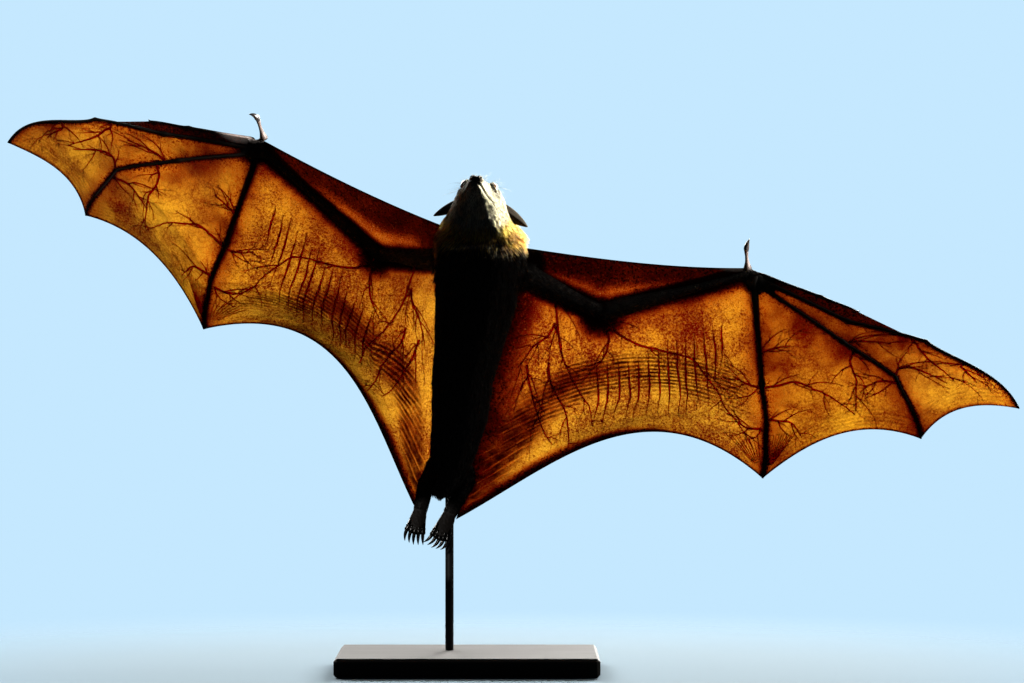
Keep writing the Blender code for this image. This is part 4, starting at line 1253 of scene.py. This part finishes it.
class Panel:
    """One web of the wing: its middle surface and what its material reads."""

    def __init__(self, kind, grid, bones, radii, free=None):
        self.kind = kind
        self.grid = grid
        rows, columns = grid.shape[:2]
        points = grid.reshape(-1, 3)
        self.u = np.tile(np.linspace(0, 1, columns), rows)
        near, far = (walked_share(grid[:, column]) for column in (0, -1))
        across = np.linspace(0, 1, columns)
        self.down = near[:, None] * (1 - across) + far[:, None] * across
        self.v = self.down.ravel()
        relief = waves(points, 0.030, 5) * 0.35 + waves(points, 0.011, 6) * 0.12
        edge = np.minimum.reduce([self.u, 1 - self.u, self.v, 1 - self.v])
        relief = (relief * fade(edge, 0.0, 0.08)).reshape(rows, columns)
        self.middle = grid + self.outward() * (relief * MM)[:, :, None]
        shade = np.zeros(len(points))
        lump = np.zeros(len(points))
        # Darker round each bone: thicker skin there, and partly painted shadow of the bone.
        for line, radius in zip(bones, radii):
            away = distance_to(points, line)
            shade = np.maximum(shade, 0.95 * np.exp(-np.maximum(away - radius, 0) / (1.0 + 0.55 * radius)))
            shade = np.maximum(shade, 0.46 * np.exp(-away / (radius + 7.0)))
            lump = np.maximum(lump, np.exp(-away / (radius + 1.0)))
        self.lump = lump
        self.edge, self.along = np.zeros(len(points)), np.zeros(len(points))
        if free is not None:
            self.edge, place = nearest(points, resampled(free, 400))
            self.along = place / 400
            shade = np.maximum(shade, 0.75 * (1 - fade(self.edge, 0.6, 2.6)))
        self.shade = shade
        self.fine, self.coarse, self.pale = np.zeros((3, len(points)))
        self.grain = np.ones(len(points))

    def to(self, line):
        """Distance from each point of the web to a line, in millimetres."""
        return distance_to(self.grid.reshape(-1, 3), line)

    def tint(self, shade):
        """Darkens the web to this shade where it is lighter."""
        self.shade = np.maximum(self.shade, shade)

    def darken(self, level, away, near, far):
        """Darkens the web where it is closer than near, less and less up to far."""
        self.tint(level * (1 - fade(away, near, far)))

    def at(self, u, v):
        """Points of the middle surface, read between the grid's points."""
        rows, columns = self.grid.shape[:2]
        x = np.clip(u, 0, 1) * (columns - 1)
        y = np.array([np.interp(place, self.down[:, int(round(column))], np.arange(rows))
                      for place, column in zip(v, x)])
        i = np.minimum(x.astype(int), columns - 2)
        j = np.minimum(y.astype(int), rows - 2)
        s, t = (x - i)[:, None], (y - j)[:, None]
        g = self.middle
        return (g[j, i] * (1 - s) * (1 - t) + g[j, i + 1] * s * (1 - t)
                + g[j + 1, i] * (1 - s) * t + g[j + 1, i + 1] * s * t)

    def outward(self):
        du = np.gradient(self.grid, axis=1)
        dv = np.gradient(self.grid, axis=0)
        way = unit(np.cross(du, dv))
        return way * np.where(way[:, :, 1:2] > 0, -1, 1)

    def scale(self, v):
        """Width at v and mean height of the web in millimetres."""
        widths = np.linalg.norm(np.diff(self.grid, axis=1), axis=2).sum(axis=1) / MM
        height = np.linalg.norm(np.diff(self.grid, axis=0), axis=2).sum(axis=0).mean() / MM
        return np.array((np.interp(v, self.down.mean(axis=1), widths), height))

    def mesh(self):
        way = self.outward().reshape(-1, 3)
        half = (WING_THICK / 2 + BONE_SLEEVE * self.lump) * MM
        mesh = sheet_mesh(self.kind, self.middle.reshape(-1, 3), way * half[:, None], self.grid.shape[:2])
        for name in ("shade", "fine", "coarse", "pale", "grain"):
            add_values(mesh, name, np.tile(getattr(self, name), 2))
        folds = np.column_stack([self.edge / 100, self.along * 1.2])
        add_map(mesh, "folds", np.tile(folds, (2, 1)))
        return mesh


def front_web(wing, leading):
    """The web before the arm, from the neck to the wrist."""
    arm = wing.arm
    rows = np.linspace(0, 1, 26)[:, None]
    inner = leading[0] * (1 - rows) + arm[0] * rows
    outer = leading[-1] * (1 - rows) + arm[-1] * rows
    web = Panel("propatagium", patch(leading, arm, inner, outer, -CAMBER / 2), [arm], [9.0], free=leading)
    bright = np.exp(-((web.v - 0.74) / 0.20) ** 2) * fade(web.u, 0.10, 0.24) * (1 - fade(web.u, 0.50, 0.80))
    web.tint(0.74 - 0.54 * bright)
    web.grain[:] = 1.5
    web.darken(0.90, web.edge, 1.0, 5.0)
    web.darken(0.95, web.to(arm[ELBOW]), 10, 22)
    web.darken(1.0, web.to(arm[:1]), *SHOULDER_SHADE[wing.side])
    return web


def arm_web(wing):
    """The web from arm and fifth finger to the flank and the leg, with its folds."""
    arm, five, side = wing.arm, wing.fingers["5"], wing.side
    trailing = sagging(wing.flank[-1], five[-1], TRAILING_SAG[side], np.array((0, 0, 1.0)), len(arm))
    web = Panel("plagiopatagium", patch(arm, trailing, wing.flank, five, CAMBER, FLANK_SMOOTHING),
                [arm, five], [7.5, 2.6], free=trailing)
    inside = fade(web.v, 0.05, 0.14) * (1 - fade(web.u, 0.90, 0.99)) * fade(web.edge, 3, 8)
    marks, middles, widths = np.array(FOLDS[side]).T
    off = web.edge - np.interp(web.along, marks, middles)
    wide = np.interp(web.along, marks, widths)
    band = np.exp(-(off / wide) ** 4) * inside
    web.fine = band * (1 - 0.65 * fade(web.along, 0.68, 0.92))
    web.coarse = band * (1 - fade(web.along, *COARSE_FOLDS[side]))
    place, spread_along, level = SMUDGE[side]
    web.tint(level * np.exp(-((off - 5) / 9) ** 2 - ((web.along - place) / spread_along) ** 2))
    web.tint(FOLD_SHADE[side] * band * (1 - fade(web.along, 0.25, 0.65)))
    rim = fade(web.edge, 6, 12) * (1 - fade(off, -wide, 0)) * fade(web.along, 0.05, 0.25)
    web.pale = rim * (1 - fade(web.along, 0.80, 1.0))
    border = np.interp(web.along, (0, 0.1, 0.35, 0.55, 0.72, 1), (6, 9, 11, 6, 2.2, 1.2))
    web.darken(0.90, web.edge / border, 0.20, 1.45)
    body = web.to(wing.flank)
    if side == "right":
        web.pale = np.maximum(web.pale, 1.3 * fade(body, 6, 14) * (1 - fade(body, 30, 60)))
    # Darker web beside the flank: dark skin near the body, with painted shadow of the body where the reach
    # is wider.
    near, far = BODY_SHADE[side]
    lower = fade(web.grid.reshape(-1, 3)[:, 2], 0.160, 0.230)
    web.darken(1.0, body, near * lower, near * lower + 3 + 4 * lower)
    web.darken(0.80, body, near * lower, 8 + (far - 8) * lower)
    web.darken(0.95, web.to(arm[ELBOW]), 13, 34)
    web.darken(1.0, web.to(arm[:ARM_STEPS[0]]), 10, 20)
    return web


def hand_web(wing, pair, columns):
    """The web between two neighbouring long fingers."""
    near, far = (wing.fingers[digit] for digit in pair)
    kind = "{1}_{0}".format(*pair)
    inward = wing.wrist - (near[-1] + far[-1]) / 2
    free = sagging(near[-1], far[-1], HAND_SAG[wing.side][kind], inward, columns)
    share = np.linspace(0, 1, columns)[:, None]
    top = near[0] * (1 - share) + far[0] * share
    web = Panel("panel_" + kind, patch(top, free, near, far, CAMBER / 2), [near, far], [2.0, 1.7], free=free)
    web.fine = 0.25 * fade(web.edge, 2, 6) * (1 - fade(web.edge, 14, 30))
    web.grain[:] = 0.50
    if wing.side == "right":
        web.pale[:] = 0.9
    # Wide darker bands along both fingers: thicker skin, with partly painted shadow of the bones.
    for line in (near, far):
        web.tint(0.50 * np.exp(-web.to(line) / 15) * (1 - 0.6 * fade(web.v, 0.5, 0.9)))
    if kind == "3_4":
        web.pale = np.maximum(web.pale, fade(web.v, 0.5, 0.8) * (1 - fade(web.v, 0.93, 1.0)))
    return web


def tip_web(wing):
    """The narrow web between the second finger and the third."""
    stop = BONE_STEPS[0] + round(0.75 * BONE_STEPS[1]) + 1
    second = catmull(wing.fingers["2"], np.linspace(0, 1, stop))
    third = wing.fingers["3"][:stop]
    share = np.linspace(0, 1, 12)[:, None]
    top, bottom = (third[end] * (1 - share) + second[end] * share for end in (0, -1))
    web = Panel("panel_2_3", patch(top, bottom, third, second, 0), [third, second], [2.0, 1.4])
    web.tint(0.88 - 0.22 * web.v)
    return web


def wing_panels(wing):
    """All webs of one wing, from the neck to the tip."""
    start = metres(NECK_EDGE[wing.side])
    end = wing.wrist + metres(WRIST_EDGE[wing.side])
    leading = sagging(start, end, LEADING_SAG[wing.side], np.array((0, 0, -1.0)), len(wing.arm))
    panels = [front_web(wing, leading), arm_web(wing), hand_web(wing, "54", 84), hand_web(wing, "43", 74),
              tip_web(wing)]
    for web, reach in zip(panels, WRIST_SHADE):
        web.darken(0.97, web.to(wing.arm[-1:]), 11, reach)
    return panels


VEINS = {                      # main veins of each web, as (u, v) from bone to free edge
    "plagiopatagium": (
        ((0.40, 0.03), (0.44, 0.14), (0.545, 0.27), (0.65, 0.35), (0.75, 0.42), (0.795, 0.52),
         (0.845, 0.64), (0.86, 0.71), (0.915, 0.80), (0.965, 0.90)),
        ((0.19, 0.02), (0.207, 0.095), (0.25, 0.285), (0.313, 0.44), (0.40, 0.64), (0.445, 0.84)),
        ((0.14, 0.38), (0.163, 0.47), (0.217, 0.62), (0.31, 0.85)),
        ((0.215, 0.36), (0.235, 0.455), (0.333, 0.675), (0.38, 0.93)),
        ((0.21, 0.16), (0.19, 0.24), (0.15, 0.30), (0.11, 0.40)),
        ((0.40, 0.10), (0.42, 0.20), (0.405, 0.31), (0.36, 0.38)),
        ((0.985, 0.56), (0.94, 0.55), (0.90, 0.52)),
        ((0.985, 0.77), (0.94, 0.80), (0.90, 0.78)),
    ),
    "panel_4_5": (
        ((0.01, 0.53), (0.16, 0.56), (0.33, 0.60), (0.42, 0.68), (0.53, 0.78), (0.62, 0.90)),
        ((0.99, 0.50), (0.83, 0.58), (0.74, 0.67), (0.70, 0.76), (0.64, 0.89)),
        ((0.99, 0.74), (0.88, 0.73), (0.78, 0.75), (0.70, 0.78)),
        ((0.01, 0.70), (0.10, 0.74), (0.20, 0.80), (0.27, 0.92)),
        ((0.02, 0.34), (0.22, 0.36), (0.45, 0.39)),
    ),
    "panel_3_4": (
        ((0.01, 0.70), (0.20, 0.70), (0.38, 0.75), (0.52, 0.87)),
        ((0.99, 0.55), (0.80, 0.60), (0.66, 0.70), (0.60, 0.87)),
        ((0.02, 0.45), (0.28, 0.50), (0.50, 0.58)),
        ((0.98, 0.76), (0.84, 0.80), (0.76, 0.90)),
    ),
}


MAIN_VEIN = 1.45               # radius in millimetres
TWIG_STEPS = 4


def vein_paths(panel, mains, random, branches):
    """The main veins and seeded side branches, as lines on the web with radii."""
    paths = []

    def add(line, thick, depth):
        line = np.array(line)
        size = panel.scale(line[:, 1].mean())
        count = max(6, int(np.linalg.norm(np.diff(line, axis=0) * size, axis=1).sum() / 2.0))
        smooth = catmull(np.column_stack([line, np.zeros(len(line))]), np.linspace(0, 1, count))[:, :2]
        wobble = np.cumsum(random.normal(size=(count, 2)), axis=0) * 0.16 / size
        smooth = np.clip(smooth + wobble - wobble[0], 0.004, 0.994)
        paths.append((smooth, np.linspace(thick, thick * 0.4, count)))
        if depth == 0:
            return
        for k in range(branches[depth - 1]):
            share = (k + random.uniform(0.2, 0.9)) / branches[depth - 1]
            index = int(share * (count - 1))
            size = panel.scale(smooth[index, 1])
            here = smooth[index] * size
            ahead = unit((smooth[min(index + 1, count - 1)] - smooth[max(index - 1, 0)]) * size)
            turn = math.radians(random.uniform(25, 55)) * (1 if k % 2 else -1)
            reach = random.uniform(14, 40) * (0.55 if depth == 1 else 1.0)
            line = [here]
            for _ in range(TWIG_STEPS):
                c, s = math.cos(turn), math.sin(turn)
                way = np.array((ahead[0] * c - ahead[1] * s, ahead[0] * s + ahead[1] * c))
                line.append(line[-1] + way * reach / TWIG_STEPS)
                turn *= random.uniform(0.6, 0.95)
            add(np.array(line) / size, thick * (0.72 - 0.3 * share), depth - 1)

    for main in mains:
        add(main, MAIN_VEIN, 2)
    return paths


def muscle_strips(random):
    """Fine strips of muscle that cross the folds, as lines on the arm web with radii."""
    paths = []
    levels = np.linspace(0, 1, 26)
    for share in np.linspace(0, 1, 14):
        top = np.array((0.39 + 0.48 * share, 0.37 - 0.17 * share + random.uniform(-0.03, 0.03)))
        low = ramp(share, (0, 0.5, 0.8, 1), (0.84, 0.88, 0.80, 0.46)) + random.uniform(-0.04, 0.04)
        end = np.array((ramp(share, (0, 0.5, 1), (0.44, 0.69, 0.855)), low))
        line = top + (end - top) * levels[:, None]
        line[:, 0] += np.sin(levels * 3 + share * 5) * 0.006 + np.cumsum(random.normal(size=26)) * 0.0008
        paths.append((line, 0.32 + 0.86 * np.sin(math.pi * levels ** 0.8) ** 2))
    return paths


def tip_streaks(corner, spread_u, spread_v, count):
    """Fine dark streaks that fan out from a finger's tip."""
    paths = []
    for share in np.linspace(0, 1, count):
        far = np.array(corner) + np.array((spread_u * (0.15 + share), spread_v * (1 - 0.35 * share)))
        near = np.array(corner) + (far - corner) * 0.22
        line = near + (far - near) * np.linspace(0, 1, 12)[:, None]
        paths.append((line, 0.30 + 0.26 * np.sin(math.pi * np.linspace(0, 1, 12))))
    return paths


def vein_meshes(panel, paths):
    parts = []
    for line, radii in paths:
        points = panel.at(line[:, 0], line[:, 1])
        points = resampled(points, len(points))
        if np.linalg.norm(points[-1] - points[0]) < 3 * MM:
            continue
        parts.append(tube_arrays(points, np.maximum(radii, 0.24) * MM, 6, flat=0.85))
    return stacked(parts)


def build_wing(wing, sign):
    panels = wing_panels(wing)
    membrane = joined("wing", [panel.mesh() for panel in panels])
    random = np.random.default_rng(17 + sign)
    veins = []
    for panel in panels:
        if panel.kind not in VEINS:
            continue
        paths = vein_paths(panel, VEINS[panel.kind], random, (2, 5))
        if panel.kind == "plagiopatagium":
            paths += muscle_strips(random) + tip_streaks((0.99, 0.99), -0.10, -0.16, 8)
        if panel.kind == "panel_4_5":
            paths += tip_streaks((0.01, 0.99), 0.20, -0.20, 10)
        veins.append(vein_meshes(panel, paths))
    bones = []
    for digit, line in wing.fingers.items():
        inside = wing.wrist + (line[0] - wing.wrist) * 0.2
        radii = wing.radii[digit]
        bones.append(tube_arrays(np.vstack([inside, line]), np.append(ROOT_SWELL * radii[0], radii), 11))
    radii = np.interp(np.linspace(0, 1, len(wing.thumb)), np.linspace(0, 1, len(THUMB_RADII)), THUMB_RADII)
    bones.append(tube_arrays(wing.thumb, radii * MM, 14))
    return membrane, mesh_from("veins", *stacked(veins)), mesh_from("digits", *stacked(bones))


def claw_arrays(tip, before, length, curl, radii, joints=14, sides=12):
    """A hooked claw that carries on from a toe, deeper than it is wide."""
    ahead = unit(tip - before)
    curl = unit(curl)
    points = [tip - ahead * 0.8 * MM]
    for step in range(joints):
        direction = unit(ahead * (1 - step / (joints - 1)) + curl * step / (joints - 1))
        points.append(points[-1] + direction * length * MM / joints)
    sizes = np.interp(np.linspace(0, 1, joints + 1), np.linspace(0, 1, len(radii)), radii) * MM
    way = np.cross(ahead, curl)
    way = unit(way) if np.linalg.norm(way) > 1e-3 else np.array((0, 1.0, 0))
    return tube_arrays(np.array(points), sizes, sides, flat=1.0, up=way)


# ------------------------------------------------------------- face and claws
def ear_mesh(side, sign):
    """A leaf-shaped, cupped ear with a thin edge."""
    root = head_point(EAR_ROOT[0], EAR_ROOT[1] * sign, EAR_ROOT[2])
    tip = head_point(EAR_TIP[0], EAR_TIP[1] * sign, EAR_TIP[2])
    along = unit(tip - root)
    across = unit(np.array((0, 0, 1.0)) - along * along[2])
    facing = unit(np.cross(along, across)) * -sign
    rows, columns = 34, 19
    share = np.linspace(-0.10, 1, rows)[:, None]
    over = np.linspace(-1, 1, columns)[None, :]
    live = np.maximum(share, 0)
    half = EAR_HALF_WIDTH[side] * (1 - live ** 2.2) * (1 + 0.2 * live) + 0.35
    hollow = 3.5 * (1 - over ** 2) * np.sqrt(1 - live)
    ribs = 0.22 * np.sin(over * 9 + 1.0) * (1 - live)
    grid = (root + (tip - root) * share[:, :, None] + across * ((half * over - live ** 2)[:, :, None] * MM)
            - facing * ((hollow + ribs)[:, :, None] * MM))
    way = unit(np.cross(np.gradient(grid, axis=1), np.gradient(grid, axis=0)))
    edge = np.sqrt(np.clip(1 - np.maximum(np.abs(over), live * 0.98) ** 6, 0.05, 1))
    offset = way * (0.45 * MM * edge)[:, :, None]
    return sheet_mesh("ear_" + side, grid.reshape(-1, 3), offset.reshape(-1, 3), (rows, columns))


def ellipsoid(centre, axes, sizes, around=40, down=26):
    shell = bmesh.new()
    bmesh.ops.create_uvsphere(shell, u_segments=around, v_segments=down, radius=1.0)
    mesh = mesh_of("ball", shell)
    set_coordinates(mesh, centre + coordinates(mesh) * (np.array(sizes) * MM) @ axes)
    mesh.shade_smooth()
    return mesh


def nose_mesh():
    """Two rounded nostril lobes with a groove between and open nostrils."""
    lobes = []
    for sign in (1, -1):
        centre = head_point(NOSE_LOBE[0], NOSE_LOBE[1] * sign, NOSE_LOBE[2])
        lobes.append(ellipsoid(centre - HEAD_AXES[2] * 0.5 * MM, HEAD_AXES, (3.3, 3.1, 2.9)))
    lobes.append(ellipsoid(head_point(50.8, 0, -2.8), HEAD_AXES, (5.4, 4.2, 3.4)))
    mesh = remeshed(joined("nose", lobes), NOSE_VOXEL)
    relaxed(mesh, 2)
    places = coordinates(mesh)
    out, up, along = in_head(places)
    push = np.zeros(len(places))
    for sign in (1, -1):
        away = np.sqrt((out - sign * 5.1) ** 2 + ((up + 2.4) * 0.8) ** 2 + (along - 55.4) ** 2)
        push = np.maximum(push, 1 - fade(away, 0.7, 2.0))
    set_coordinates(mesh, places - normals(mesh) * (push * 1.9 * MM)[:, None])
    mesh.shade_smooth()
    return mesh


def eye_mesh(sign):
    middle = head_point(EYE[0], EYE[1] * sign, EYE[2])
    axis, forward, rise = eye_axes(sign)
    mesh = ellipsoid(middle, np.stack([forward, rise, axis]), (EYE_RADIUS,) * 3, 56, 40)
    places = coordinates(mesh)
    way = unit(places - middle)
    turn = np.arccos(np.clip(way @ axis, -1, 1))
    set_coordinates(mesh, places + way * ((1 - fade(turn, 0.25, 1.0)) * 0.35 * MM)[:, None])
    add_values(mesh, "turn", turn)
    return mesh


def toe_lines(side):
    """For each toe, points from the sole to where its claw starts."""
    ankle, toes = (metres(joint) for joint in LEG[side][2:])
    along = unit(toes - ankle)
    across = unit(np.cross(along, (0, 1, 0)))
    lines = []
    for toe in range(5):
        offset = (toe - 2) / 4
        end = toes + (across * offset * TOE_SPREAD - along * 3.5 * abs(offset)) * MM
        start = ankle + (toes - ankle) * TOE_START + across * offset * TOE_SPREAD * 0.7 * MM
        middle = (start + end) / 2 - np.array((0, 1.6 * MM, 0))
        lines.append(catmull(np.array([start, middle, end]), np.linspace(0, 1, TOE_POINTS)))
    return lines


def toe_mesh(side):
    radii = ramp(np.linspace(0, 1, TOE_POINTS), *TOE_KNUCKLES) * MM
    return mesh_from("toes", *stacked([tube_arrays(line, radii, 12) for line in toe_lines(side)]))


def claw_meshes(wing):
    """Claws of one side: five toes, the thumb and the second finger."""
    side = wing.side
    thumb = wing.thumb
    parts = [claw_arrays(thumb[-1], thumb[-2], THUMB_CLAW, np.array(THUMB_CURL[side]), THUMB_CLAW_RADII)]
    second = wing.fingers["2"]
    curl = heading_vector(FINGER[side]["2"][-1][1] + 50 * wing.leading, -30)
    parts.append(claw_arrays(second[-1], second[-2], FINGER_CLAW_LENGTH, curl, FINGER_CLAW_RADII))
    for line in toe_lines(side):
        parts.append(claw_arrays(line[-1], line[-3], CLAW_LENGTH, np.array(CLAW_CURL[side], float),
                                 CLAW_RADII))
    return mesh_from("claws_" + side, *stacked(parts))


# -------------------------------------------------------------------- assembly
def show(name, mesh, nodes, material=None):
    piece = link(name, mesh, material)
    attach(piece, "root")
    if nodes:
        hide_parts(*nodes)
    return piece


def with_material(mesh, material):
    mesh.materials.clear()
    mesh.materials.append(material)
    mesh.shade_smooth()
    return mesh


def build_animal():
    hide = skin_material()
    digits = leather_material("bare_skin", *DIGIT_SKIN, 0.50)
    scutes = leather_material("foot_skin", *TOE_SKIN, 0.14, 0.6, 0.06)
    horn = claw_material()
    membrane = wing_material()
    vein = vein_material()
    wings = {side: Wing(side, sign) for side, sign in SIDES}
    mesh, labels = build_skin(wings)
    skin = Skin(mesh, labels)
    add_colours(mesh, "coat_colour", skin.colour)
    flesh = [with_material(mesh.copy(), hide)]
    flesh += [with_material(toe_mesh(side), scutes) for side, _ in SIDES]
    show("skin", joined("skin", flesh), [name for name, _ in part_nodes()])
    for side, sign in SIDES:
        wing = wings[side]
        web, veins, bones = build_wing(wing, sign)
        meshes = [with_material(web, membrane), with_material(veins, vein), with_material(bones, digits)]
        names = [part + "_" + side for part in (
            "propatagium", "plagiopatagium", "panel_4_5", "panel_3_4", "panel_2_3",
            "digit_2", "digit_3", "digit_4", "digit_5", "thumb")]
        show("wing_" + side, joined("wing", meshes), names)
        names = ["thumb_claw_" + side, "digit_2_claw_" + side]
        names += ["toe_claw_{}_{}".format(toe, side) for toe in range(1, 6)]
        show("claws_" + side, claw_meshes(wing), names, horn)
        ear = leather_material("ear_skin_" + side, *EAR_SKIN, 0.62, 0.12)
        show("ear_skin_" + side, ear_mesh(side, sign), ["ear_" + side], ear)
        show("eyeball_" + side, eye_mesh(sign), ["eye_" + side], eye_material())
    wet = leather_material("nose_skin", *NOSE_SKIN, 0.28)
    show("nose_pad", nose_mesh(), ["nose"], wet)
    return skin


WHISKER_STRETCH = 6.0          # whiskers are this many times as long as the hair they stand in


def build_coat(skin):
    labels = skin.labels
    height = skin.places[:, 2] / MM
    up, along = in_head(skin.places)[1:]
    grows = skin.hairy()
    head = labels == HEAD
    trunk = labels == TRUNK
    neck = labels == NECK
    arms = np.isin(labels, (UPPER_ARM, FOREARM, WRIST))
    legs = np.isin(labels, (THIGH, SHANK))
    side = skin.places[:, 0] / MM > ramp(height, (165, 240, 316, 430), (-27, -8, 2, 12))
    sorts = (                  # name, where, hairs per square mm, width, lift, pull, rings and slot
        ("coat_face", head & (along > 20), 4.2, 0.36, 0.20, 0.30, 2, "face_coat"),
        ("coat_whiskers", head & (along > 36) & (along < 49) & (up > -6), 0.14,
         0.22, 0.75, 0.0, 2, "face_coat"),
        ("coat_cheeks", head & (along <= 20) & (along > 5), 2.6, 0.45, 0.26, 0.50, 2, "face_coat"),
        ("coat_crown", head & (along <= 5), 1.7, 0.55, 0.28, 0.60, 3, "face_coat"),
        ("coat_ruff_left", neck & side, 1.25, 0.62, 0.30, 0.60, 3, "collar_coat"),
        ("coat_ruff_right", neck & ~side, 1.25, 0.62, 0.30, 0.60, 3, "collar_coat"),
        ("coat_chest", trunk & (height > 325), 0.60, 0.80, 0.24, 0.55, 3, "body_coat"),
        ("coat_belly", trunk & (height <= 325) & (height > 245), 0.60, 0.80, 0.22, 0.50, 3, "body_coat"),
        ("coat_rump", trunk & (height <= 245), 0.80, 0.75, 0.22, 0.50, 3, "body_coat"),
        ("coat_arm_left", arms & side, 1.00, 0.55, 0.14, 0.45, 2, "body_coat"),
        ("coat_arm_right", arms & ~side, 1.00, 0.55, 0.14, 0.45, 2, "body_coat"),
        ("coat_legs", legs, 1.40, 0.55, 0.18, 0.45, 2, "body_coat"),
    )
    for index, (name, where, density, width, lift, pull, rings, slot) in enumerate(sorts):
        random = np.random.default_rng(100 + index)
        stretch = WHISKER_STRETCH if name == "coat_whiskers" else 1.0
        mesh = tufts(name, skin, where * grows * density, random, width, lift, pull, rings, stretch=stretch)
        show(name, mesh, (), fur_material(name + "_hair"))


def build_stand():
    """The stand keeps its CAD solids and gets a lacquer."""
    for name, colour, rough in (("stand_base", BASE_LACQUER, 0.55), ("stand_rod", ROD_LACQUER, 0.30)):
        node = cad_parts[name]
        node.data.materials.clear()
        node.data.materials.append(lacquer_material(name + "_lacquer", colour, rough))


# -------------------------------------------------------------- floor and light
FLOOR_RADIUS = 0.95
FLOOR_BOUNCE_LOST = 0.97       # share of the floor's own light that the animal doesn't get
SKY = (0.558, 0.807, 1.0)
SKY_FILL = (0.72, 0.84, 1.0)
SKY_FILL_POWER = 0.004         # the sky's own light on the animal
LIGHT_TARGET = (0.03, 0.0, 0.33)
SPOT_RADIUS = 0.004            # a larger lamp blurs the edge of its cone
BEHIND_COLOUR = (1.0, 0.97, 0.92)
CAMERA_PLACE = (0.0422, -4.0, 0.315)
CAMERA_LENS = 146.8


def build_floor():
    shell = bmesh.new()
    bmesh.ops.create_circle(shell, cap_ends=True, segments=96, radius=FLOOR_RADIUS)
    bmesh.ops.translate(shell, vec=(0, 0, -0.0005), verts=shell.verts)
    mesh = mesh_of("floor", shell)
    g = Graph("floor")
    away = g.add("VectorMath", {0: g.place()}, operation="LENGTH").outputs["Value"]
    clear = g.add("MapRange", {"Value": away, "From Min": 0.25, "From Max": FLOOR_RADIUS},
                  interpolation_type="SMOOTHSTEP").outputs[0]
    seen = g.add("LightPath").outputs["Is Camera Ray"]
    clear = g.maths("MAXIMUM", clear, g.remap(seen, 0.0, 1.0, FLOOR_BOUNCE_LOST, 0.0))
    body = g.principled(FLOOR_PALE, 0.9, Specular_IOR_Level=0.1)
    shader = g.blend(clear, body, g.add("BsdfTransparent").outputs[0])
    floor = link("floor", mesh, g.finish(shader))


def build_sky():
    world = bpy.data.worlds.new("studio")
    bpy.context.scene.world = world
    world.use_nodes = True
    nodes = world.node_tree.nodes
    links = world.node_tree.links
    nodes.clear()
    shown = nodes.new("ShaderNodeBackground")
    shown.inputs["Color"].default_value = (*SKY, 1.0)
    fill = nodes.new("ShaderNodeBackground")
    fill.inputs["Color"].default_value = (*SKY_FILL, 1.0)
    fill.inputs["Strength"].default_value = SKY_FILL_POWER
    mix = nodes.new("ShaderNodeMixShader")
    links.new(nodes.new("ShaderNodeLightPath").outputs["Is Camera Ray"], mix.inputs[0])
    links.new(fill.outputs[0], mix.inputs[1])
    links.new(shown.outputs[0], mix.inputs[2])
    links.new(mix.outputs[0], nodes.new("ShaderNodeOutputWorld").inputs["Surface"])


def add_lamp(name, kind, place, target, power, colour):
    lamp = bpy.data.lights.new(name, kind)
    lamp.energy = power
    lamp.color = colour
    holder = bpy.data.objects.new(name, lamp)
    bpy.context.scene.collection.objects.link(holder)
    holder.location = place
    holder.rotation_euler = (Vector(target) - Vector(place)).to_track_quat("-Z", "Y").to_euler()
    return lamp


def add_light(name, place, size, power, colour):
    """A round soft light on the whole animal."""
    lamp = add_lamp(name, "AREA", place, LIGHT_TARGET, power, colour)
    lamp.shape = "DISK"
    lamp.size = size


def add_spot(name, place, target, angle, power, colour):
    """A narrow light on one small part."""
    lamp = add_lamp(name, "SPOT", place, target, power, colour)
    lamp.spot_size = math.radians(angle)
    lamp.spot_blend = 0.15
    lamp.shadow_soft_size = SPOT_RADIUS


def thumb_middle(side):
    """A place a little above the middle of the thumb."""
    low, high = (Vector(corner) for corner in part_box("thumb_" + side))
    return (low + high) / 2 + Vector((0, 0, 0.009))


def add_camera():
    bpy.context.scene.view_settings.view_transform = "Standard"
    camera = bpy.data.cameras.new("camera")
    camera.sensor_width = 36.0
    camera.lens = CAMERA_LENS
    camera.clip_end = 50.0
    holder = bpy.data.objects.new("camera", camera)
    bpy.context.scene.collection.objects.link(holder)
    holder.location = CAMERA_PLACE
    holder.rotation_euler = (math.radians(90), 0, 0)
    bpy.context.scene.camera = holder


build_coat(build_animal())
build_stand()
build_floor()
build_sky()
add_light("key", (3.2, 0.5, 1.9), 0.5, 20.0, (1.0, 0.93, 0.82))
add_spot("head_spot", (1.5, 0.45, 0.47), (0.03, -0.03, 0.467), 5.5, 950.0, (1.0, 0.94, 0.70))
for side, away, rise in (("left", 1.3, 0.02), ("right", 1.4, 0.05)):
    thumb = thumb_middle(side)
    add_spot("thumb_spot_" + side, thumb + Vector((away, -0.40, rise)), thumb, 1.5, 1700.0,
             (1.0, 0.98, 0.95))
add_spot("foot_spot", (-0.6, -1.0, 0.45), (-0.04, -0.01, 0.132), 3.4, 11.0, (1.0, 0.96, 0.90))
add_light("behind", (1.4, 3.6, 1.7), 2.2, 250.0, BEHIND_COLOUR)
add_light("behind_left", (-1.5, 3.3, 2.0), 2.2, 162.0, BEHIND_COLOUR)
add_light("front", (-1.2, -3.2, 2.6), 2.0, 0.2, (0.92, 0.96, 1.0))
add_camera()
